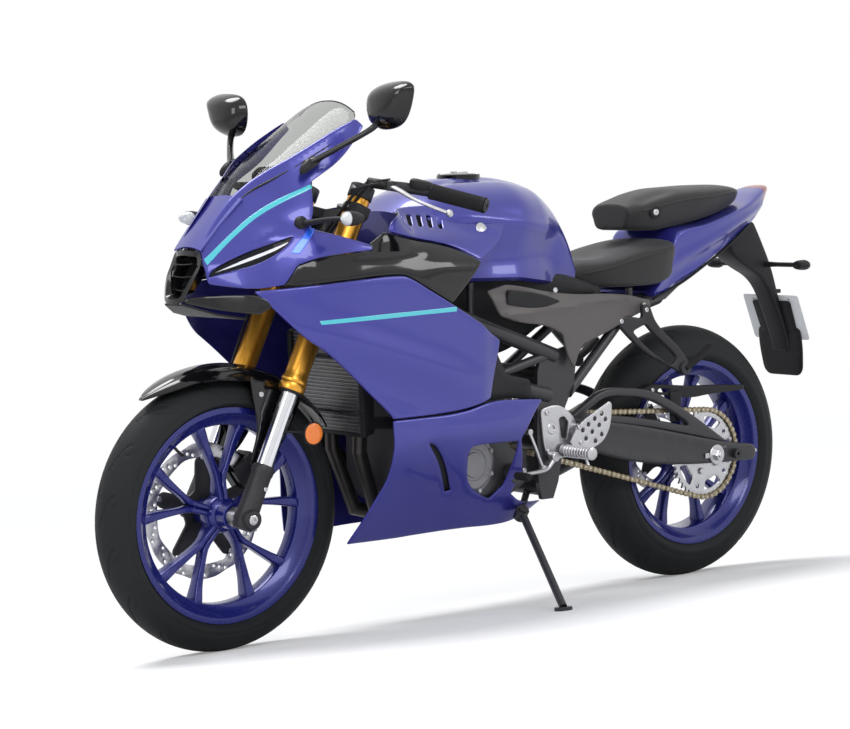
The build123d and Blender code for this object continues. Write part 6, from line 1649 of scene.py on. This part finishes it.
def swinging_arm():
    piece = Piece("swingarm_beams")
    arm = [(-92, 444), (-160, 448), (-300, 428), (-448, 403), (-605, 369), (-740, 340), (-828, 330),
           (-838, 310), (-830, 290), (-612, 294), (-412, 316), (-250, 364), (-160, 392), (-100, 402)]
    slot_hole = soften([(-664, 322), (-664, 306), (-716, 306), (-716, 322)], 7, 5)
    shape = fill(soften(arm, 14, 8, 40), [slot_hole], 13, (1, 3, 7))

    def depth(x, z, d):
        return 14 - roll(d, 7) - 4.0 * step(12, 20, d) * step(-180, -240, x) * step(-720, -660, x)
    piece.add(upright(shape, lambda x, z, d: 116 + depth(x, z, d), lambda x, z, d: 116 - depth(x, z, d)),
              FRAME, True)
    brace = [(-196, 436), (-250, 466), (-313, 502), (-390, 498), (-472, 489), (-540, 458), (-619, 416),
             (-748, 336), (-680, 352), (-600, 370), (-440, 404)]
    inner = [(-256, 448), (-318, 482), (-390, 478), (-462, 468), (-530, 438), (-590, 404), (-600, 392),
             (-440, 424)]
    piece.add(upright(fill(soften(brace, 10, 8, 60), [soften(inner, 10, 8, 60)], 12, (1, 3, 6)),
                      lambda x, z, d: 126.5 - roll(d, 6), lambda x, z, d: 105.5 + roll(d, 6)), FRAME, True)
    beam = soften([(-166, 364), (-166, 430), (-238, 422), (-238, 354)], 12, 7)
    piece.add(plate(beam, (), -103, 103, 4, 16), FRAME)
    piece.add(turned([(9.2, -136), (19, -136), (20, -134), (20, 134), (19, 136), (9.2, 136)],
                     at_axle(ARM_PIVOT), (0, 1, 0), 44, closed=True), FRAME)
    for s in (1, -1):
        piece.add(turned([(8, 0), (25, 0), (25, 3), (23, 5), (8, 5)], at_axle(REAR_AXLE, s * 130), (0, s, 0),
                         40, closed=True), ALLOY)
        piece.add(tab((-664, -650), (308, 320), (s * 130, s * 132.5)), ALLOY)
        for k in range(6):
            piece.add(tab((-724 + k * 5, -723.2 + k * 5), (328, 334), (s * 130.0, s * 130.6)), STEEL)
        piece.add(tube([(-836, s * 116, 311), (-846, s * 116, 311)], 5, 6, smooth=False), STEEL)
    piece.done("chassis", "swingarm", slot="frame_paint")

    spindle = Piece("rear_axle_and_pivot_bolt")
    for s in (1, -1):
        spindle.add(turned([(7.5, 0), (7.5, 134), (15, 135), (15, 143), (13, 145), (7.5, 145), (7.5, 147),
                            (6, 148), (0.1, 148)],
                           at_axle(REAR_AXLE), (0, s, 0), 6 if s > 0 else 24), STEEL)
        spindle.add(turned([(12, 0), (12, 14)], at_axle(REAR_AXLE, s * 88), (0, s, 0), 24), ALLOY)
        spindle.add(turned([(9, 0), (9, 150), (14, 151), (14, 158), (12, 159.5), (8, 159.5), (8, 156),
                            (0.1, 156)],
                           at_axle(ARM_PIVOT), (0, s, 0), 24), STEEL)
    spindle.done("chassis", "rear_spindles", slot="disc_steel")

    guard = Piece("chain_guard_cover")
    top = [(-468, 486), (-500, 496), (-560, 492), (-640, 484), (-740, 480), (-826, 475), (-820, 464),
           (-690, 461), (-640, 455), (-560, 466), (-500, 474)]
    guard.add(plate(soften(top, 6, 7), [soften([(-520, 486), (-560, 484), (-556, 474), (-520, 478)], 4, 5)],
                    96, 99.5, 1.6, 12), SATIN)
    spine = [(-470, 488), (-500, 497), (-560, 492.5), (-640, 484.5), (-740, 480.5), (-824, 475.5)]
    rings = [[(x, 98.5, z), (x, 76, z), (x, 76, z - 2.5), (x, 98.5, z - 2.5)] for x, z in spine]
    guard.add(loft(rings), SATIN)
    guard.add(plate(soften([(-592, 402), (-560, 402), (-556, 476), (-596, 476)], 6, 7), (), 99, 104.5, 1.5,
                    12), SATIN)
    guard.add(bolt((-576, 104.5, 430), (0, 1, 0), 6, 4), STEEL)
    guard.add(bolt((-500, 99.5, 484), (0, 1, 0), 5, 3), STEEL)
    guard.done("chassis", "chain_guard", slot="satin_black_plastic")


swinging_arm()
keep_cad("stand_bosses", 0.8)


# ------------------------------------------------------------------ footrests, pedals and hangers
def feet():
    rests = Piece("rider_footrest_sets")
    hanger = [(-86, 470), (-120, 478), (-150, 476), (-184, 452), (-198, 430), (-200, 384), (-186, 362),
              (-150, 352), (-120, 352), (-98, 372), (-90, 430)]
    holes = [circle(*ARM_PIVOT, 12, 28),
             soften([(-172, 436), (-158, 450), (-142, 446), (-150, 400), (-166, 396)], 6, 5, 50)]
    rests.add(plate(soften(hanger, 10, 7, 50), holes, 150, 158, 2.4, 11), ALLOY, True)
    heel = [(-158, 390), (-172, 412), (-189, 433), (-240, 458), (-284, 478), (-291, 470), (-288, 425),
            (-274, 398), (-257, 381), (-214, 366), (-176, 374)]
    dots = [circle(x, z, 5.6, 14) for x,
            z in ((-198, 416), (-216, 428), (-236, 440), (-258, 450), (-208, 396), (-228, 410),
                                               (-250, 424), (-270, 436), (-238, 388), (-258, 402))]
    rests.add(plate(soften(heel, 8, 7, 40), dots, 173, 178, 1.8, 10), ALLOY, True)
    for x, z in ((-186, 424), (-192, 388)):
        rests.add(turned([(7.5, 0), (7.5, 16)], (x, 157.5, z), (0, 1, 0), 24), ALLOY, True)
        rests.add(bolt((x, 178, z), (0, 1, 0), 6, 3.5), STEEL, True)
    for x, z in ((-104, 462), (-108, 372)):
        rests.add(bolt((x, 158, z), (0, 1, 0), 6.5, 5), STEEL, True)
    peg = [(14, 0), (15.5, 2), (15.5, 8)]
    for k in range(9):
        h = 10 + k * 9.0
        peg += [(14.6, h), (14.6, h + 4), (12.6, h + 5.5), (12.6, h + 7.5)]
    peg += [(14.4, 92), (14.8, 96), (11, 98), (0.1, 98)]
    rests.add(turned(peg, (-150, 164, 372), (0, 1, 0), 28), ALLOY, True)
    rests.add(tube([(-150, 240, 358), (-151, 242, 350), (-152, 244, 344)], [4, 3.4, 3.4], 10), STEEL, True)
    rests.done("chassis", "rider_footrests", slot="lever_alloy")

    pedals = Piece("gear_and_brake_pedals")
    for s, reach in ((1, 40), (-1, 32)):
        pedals.add(tube([(-118, s * 166, 360), (-108, s * 167, 346), (-88, s * 168, 332), (-30, s * 178, 330),
                         (14, s * 190, 330)],
                        [9, 7, 6, 5.6, 6], 14, flat=0.8), ALLOY)
        pedals.add(turned([(11, 0), (11, 16), (9, 17.5), (0.1, 17.5)], (-118, s * 158.2, 360), (0, s, 0), 28),
                   ALLOY)
        toe = [(8, -4), (9, -2)]
        for k in range(5):
            toe += [(9, k * 7.0), (9, k * 7.0 + 3.6), (7.8, k * 7.0 + 4.6), (7.8, k * 7.0 + 6)]
        pedals.add(turned([q for q in toe if q[1] < reach] + [(9, reach - 2), (7, reach), (0.1, reach)],
                          (14, s * 190, 330), (0, s, 0), 24), GRIP)
    pedals.add(tube([(-88, 162, 336), (-72, 154, 384), (-60, 147, 420)], 4, 12), STEEL)
    for q in ((-88, 162, 336), (-60, 147, 420)):
        pedals.add(turned([(7, -5), (7, 5)], q, (0, 1, 0), 20), ALLOY)
    pedals.done("chassis", "foot_levers", slot="lever_alloy")

    hang = Piece("pillion_footrest_hangers")
    sweep = lambda x: monotone([-540, -500, -440, -350], [190, 180, 140, 128], x)
    outer = soften([(-342, 662), (-404, 602), (-500, 534), (-524, 522), (-540, 534), (-534, 556), (-462, 640),
                    (-446, 694), (-426, 694), (-428, 662), (-366, 672)], 8, 7, 40)
    hole = soften([(-398, 632), (-436, 648), (-500, 566), (-486, 548)], 8, 6, 40)
    hang.add(upright(fill(outer, [hole], 11, (1, 3, 5)), lambda x, z, d: sweep(x) + 7 - roll(d, 4.5),
                     lambda x, z, d: sweep(x) - 7 + roll(d, 4.5)), CAST, True)
    hang.add(turned([(15, -10), (16, -8), (16, 8), (15, 10)], (-518, 187, 541), (0, 1, 0), 30), CAST, True)
    hang.add(tube([(-518, 190, 541), (-560, 194, 564), (-598, 197, 590)], [11, 12, 9], 18, flat=0.8), GRIP,
             True)
    hang.add(bolt((-436, 144, 682), (0, 1, 0), 6, 4), STEEL, True)
    hang.add(bolt((-360, 137, 658), (0, 1, 0), 6, 4), STEEL, True)
    hang.done("chassis", "pillion_footrests", slot="cast_alloy_black")


feet()


# ------------------------------------------------------------------ engine, frame and pipes
for name, size in (("frame", 1.5), ("seat_rails", 1.2), ("front_stay", 1.0), ("stand_bracket", 1.0),
                   ("side_stand", 1.2), ("engine", 3.0), ("exhaust_headers", 0.8)):
    keep_cad(name, size)


def engine_trim():
    """Fins, casings with their bolts, the oil filler and the hoses."""
    motor = Piece("engine_details")
    for k in range(9):
        z = 520 + k * 13
        x0, x1 = 60 + (z - 520) * 0.05, 286 - abs(z - 560) * 0.10
        motor.add(plate(soften([(x0, z), (x1, z + 6), (x1, z + 10), (x0, z + 4)], 2, 14), (), 112, 122, 1.2,
                        22), ENGINE)
    case = soften([(-62, 318), (-66, 450), (-10, 478), (60, 472), (200, 414), (226, 380), (232, 322),
                   (196, 284), (12, 284)], 16, 9)
    motor.add(plate(case, [circle(112, 360, 70, 48), circle(-45, 420, 44, 32)], 126, 134, 3, 16), ENGINE)
    motor.add(plate(case, [circle(100, 362, 74, 48)], -134, -126, 3, 16), ENGINE)
    for x, z in ((-54, 332), (-58, 440), (-4, 468), (60, 462), (130, 436), (196, 404), (222, 372), (224, 326),
                 (190, 294), (110, 292), (20, 292)):
        motor.add(bolt((x, 134, z), (0, 1, 0), 6, 4), STEEL)
        motor.add(bolt((x, -134, z), (0, -1, 0), 6, 4), STEEL)
    motor.add(turned([(22, 0), (22, 30), (20, 34), (12, 34), (12, 30), (0.1, 30)], (-10, 126, 330), (0, 1, 0),
                     28), ENGINE)
    motor.add(tube([(60, 138, 470), (120, 150, 520), (230, 160, 560), (330, 136, 600), (380, 128, 640)], 15,
                   18), SATIN)
    motor.add(tube([(300, 128, 462), (340, 132, 470), (384, 126, 470)], 14, 16), SATIN)
    for q, d in (((372, 129, 632), (1, -0.1, 1)), ((70, 139, 478), (0.7, 0.15, 0.6))):
        motor.add(turned([(17, -5), (17, 5)], q, d, 24), STEEL)
    motor.done("chassis", slot="engine_alloy")

    covers = Piece("engine_side_covers")
    for s, c, r in ((1, (112, 360), 72), (-1, (100, 362), 76)):
        o = (c[0], s * 128, c[1])
        covers.add(turned([(r - 2, 0), (r, 1), (r, 9), (r - 2.5, 12), (r * 0.86, 13), (r * 0.82, 15),
                           (r * 0.79, 23), (r * 0.73, 26.5), (r * 0.5, 27.2), (r * 0.48, 25.4),
                           (r * 0.40, 25.4), (r * 0.38, 27.6), (0.1, 28)], o, (0, s, 0), 72), COVER)
        for k in range(8):
            x, z = polar(c, r - 6, 22 + 45 * k)
            covers.add(turned([(7.5, 6), (7.5, 13.5), (6.5, 14.5), (0.1, 14.5)], (x, s * 128, z), (0, s, 0),
                              18), COVER)
            covers.add(bolt((x, s * 142, z), (0, s, 0), 4.4, 4), STEEL)
        for k in range(3):
            a = 90 + 120 * k
            rib = [polar(c, r * 0.50, a - 5), polar(c, r * 0.76, a - 4), polar(c, r * 0.76, a + 4),
                   polar(c, r * 0.50, a + 5)]
            y = sorted((s * 150, s * 156.2))
            covers.add(plate(soften(rib, 2, 5), (), y[0], y[1], 1.2, 12), COVER)
    covers.done("chassis", "engine_covers", slot="cover_alloy")


engine_trim()


def radiator():
    """A finned core between its end tanks."""
    rad = Piece("radiator_core_and_tanks")
    for k in range(27):
        z = 452 + k * 8.0
        x = 377 + (z - 450) * 0.037
        rad.add(loft([[(x, y, z), (x + 22, y, z - 1), (x + 22, y, z + 1.2),
                       (x, y, z + 2.2)] for y in (-118, 118)]), CORE)
    for k in range(60):
        y = -116 + k * 3.93
        rad.add(loft([[(381, y, 452), (396, y, 452), (396, y + 0.9, 452), (381, y + 0.9, 452)],
                      [(389, y, 662), (404, y, 662), (404, y + 0.9, 662), (389, y + 0.9, 662)]]), ALLOY)
    tank_side = soften([(372, 448), (404, 442), (413, 664), (380, 672)], 8, 8)
    rad.add(plate(tank_side, (), 118, 136, 5, 16), SATIN, True)
    rad.add(tube([(392, -120, 446), (392, 120, 446)], 6, 12, smooth=False), SATIN)
    rad.add(tube([(396, -120, 668), (396, 120, 668)], 6, 12, smooth=False), SATIN)
    rad.add(tube([(392, 124, 630), (350, 134, 622), (316, 141, 613)], 6, 12), FRAME, True)
    rad.add(tube([(404, -128, 500), (418, -90, 496), (418, 90, 496), (404, 128, 500)], 3, 8), SATIN)
    rad.add(tube([(408, -128, 610), (422, -90, 612), (422, 90, 612), (408, 128, 610)], 3, 8), SATIN)
    rad.done("chassis", "radiator", slot="radiator_alloy")


radiator()


def silencer():
    """A soft-cornered can with a heat shield and a turned outlet."""
    can = Piece("silencer_can")
    a3, b3 = np.array([-236, -150, 264.0]), np.array([-640, -204, 384.0])
    run = (b3 - a3) / np.linalg.norm(b3 - a3)
    length = np.linalg.norm(b3 - a3)
    px = np.array([0, 1.0, 0]) - run * run[1]
    px /= np.linalg.norm(px)
    pz = np.cross(px, run)

    def can_line(at, half_y, half_z, a):
        """Points at the angles a round the can's soft-cornered section, at a distance along it."""
        c, q = np.cos(a), np.sin(a)
        k = (np.abs(c) ** 3.2 + np.abs(q) ** 3.2) ** (-1 / 3.2)
        return a3 + run * at + (half_y * k * c)[:, None] * px + (half_z * k * q)[:, None] * pz

    body = [(40, 34, 46), (72, 39.5, 55.5), (200, 44, 61), (length - 62, 47.5, 65.5)]
    front = [(0, 20, 22), (8, 27, 29)]
    back = [(length - 56, 46, 63), (length - 50, 47.2, 65), (length - 8, 39, 51), (length - 2, 36, 48)]
    can.add(loft([can_line(at, hy, hz, angles(48)) for at, hy, hz in front + body + back]), CAST)
    can.add(turned([(14, -44), (20, -44), (20, 18), (18.5, 20), (16.5, 18), (16.5, -30), (14, -30)], b3, run,
                   40, closed=True), STEEL)
    can.add(turned([(0.1, -30), (17, -30), (17, -28), (0.1, -28)], b3, run, 30), SATIN)
    shield = []
    stations, half_ys, half_zs = zip(*body)
    for at in np.linspace(60, length - 120, 12):
        hy = float(np.interp(at, stations, half_ys)) + 3
        hz = float(np.interp(at, stations, half_zs)) + 2
        a = math.pi / 2 - (np.linspace(-2.55, -0.6, 17) - math.pi / 2 + 1.57)
        shield.append(np.concatenate([can_line(at, hy, hz, a), can_line(at, hy - 2, hz - 2, a)[::-1]]))
    can.add(loft(shield), SATIN)
    can.done("chassis", "silencer", slot="silencer_black")


silencer()


def inner_panels():
    """Dark panels behind the fairing's rear edge, between the frame rails and under the seat."""
    inner = Piece("inner_covers")
    back = fill(soften([(120, 505), (20, 505), (-40, 500), (-30, 545), (40, 560), (96, 650), (140, 690),
                        (250, 730), (250, 690), (150, 600)], 8, 9), (), 14)
    inner.add(upright(back, lambda x, z, d: 186 + 20 * step(0, 200, x) - roll(d, 5),
                      lambda x, z, d: 180 + 20 * step(0, 200, x)), SATIN, True)
    box = fill(soften([(-330, 742), (-150, 790), (110, 800), (250, 800), (250, 690), (60, 600), (-20, 596),
                       (-110, 640), (-200, 700), (-330, 716)], 12, 10),
               (), 16)
    inner.add(upright(box, lambda x, z, d: 108 - roll(d, 14), lambda x, z, d: 96), SATIN, True)
    under = fill(soften([(-330, 722), (-480, 712), (-590, 730), (-560, 690), (-470, 668), (-330, 664)], 10,
                        9), (), 14)
    inner.add(upright(under, lambda x, z, d: 76 - roll(d, 8), lambda x, z, d: 66), SATIN, True)
    inner.done("chassis", slot="satin_black_plastic")


inner_panels()


def shock_absorber():
    """The monoshock between the swingarm's cross beam and the frame."""
    shock = Piece("rear_shock")
    top, foot = np.array([-166, 0, 560.0]), np.array([-222, 0, 432.0])
    way = (foot - top) / np.linalg.norm(foot - top)
    coil = []
    for t in np.linspace(0, 1, 150):
        a = t * 2 * math.pi * 6.5
        ref = np.cross(way, [0, 1.0, 0])
        coil.append(top + way * (18 + t * 96) + 26 * (math.cos(a) * ref + math.sin(a) * np.array([0, 1.0,
                                                                                                  0])))
    shock.add(tube(coil, 5.2, 10, smooth=False), CAST)
    shock.add(turned([(16, 0), (16, 60), (9, 62), (9, 130)], top, way, 28), STEEL)
    shock.add(turned([(31, 10), (31, 17), (16, 18)], top, way, 36), ALLOY)
    shock.add(turned([(31, 114), (31, 120), (12, 124)], top, way, 36), ALLOY)
    shock.done("chassis", slot="cast_alloy_black")


shock_absorber()
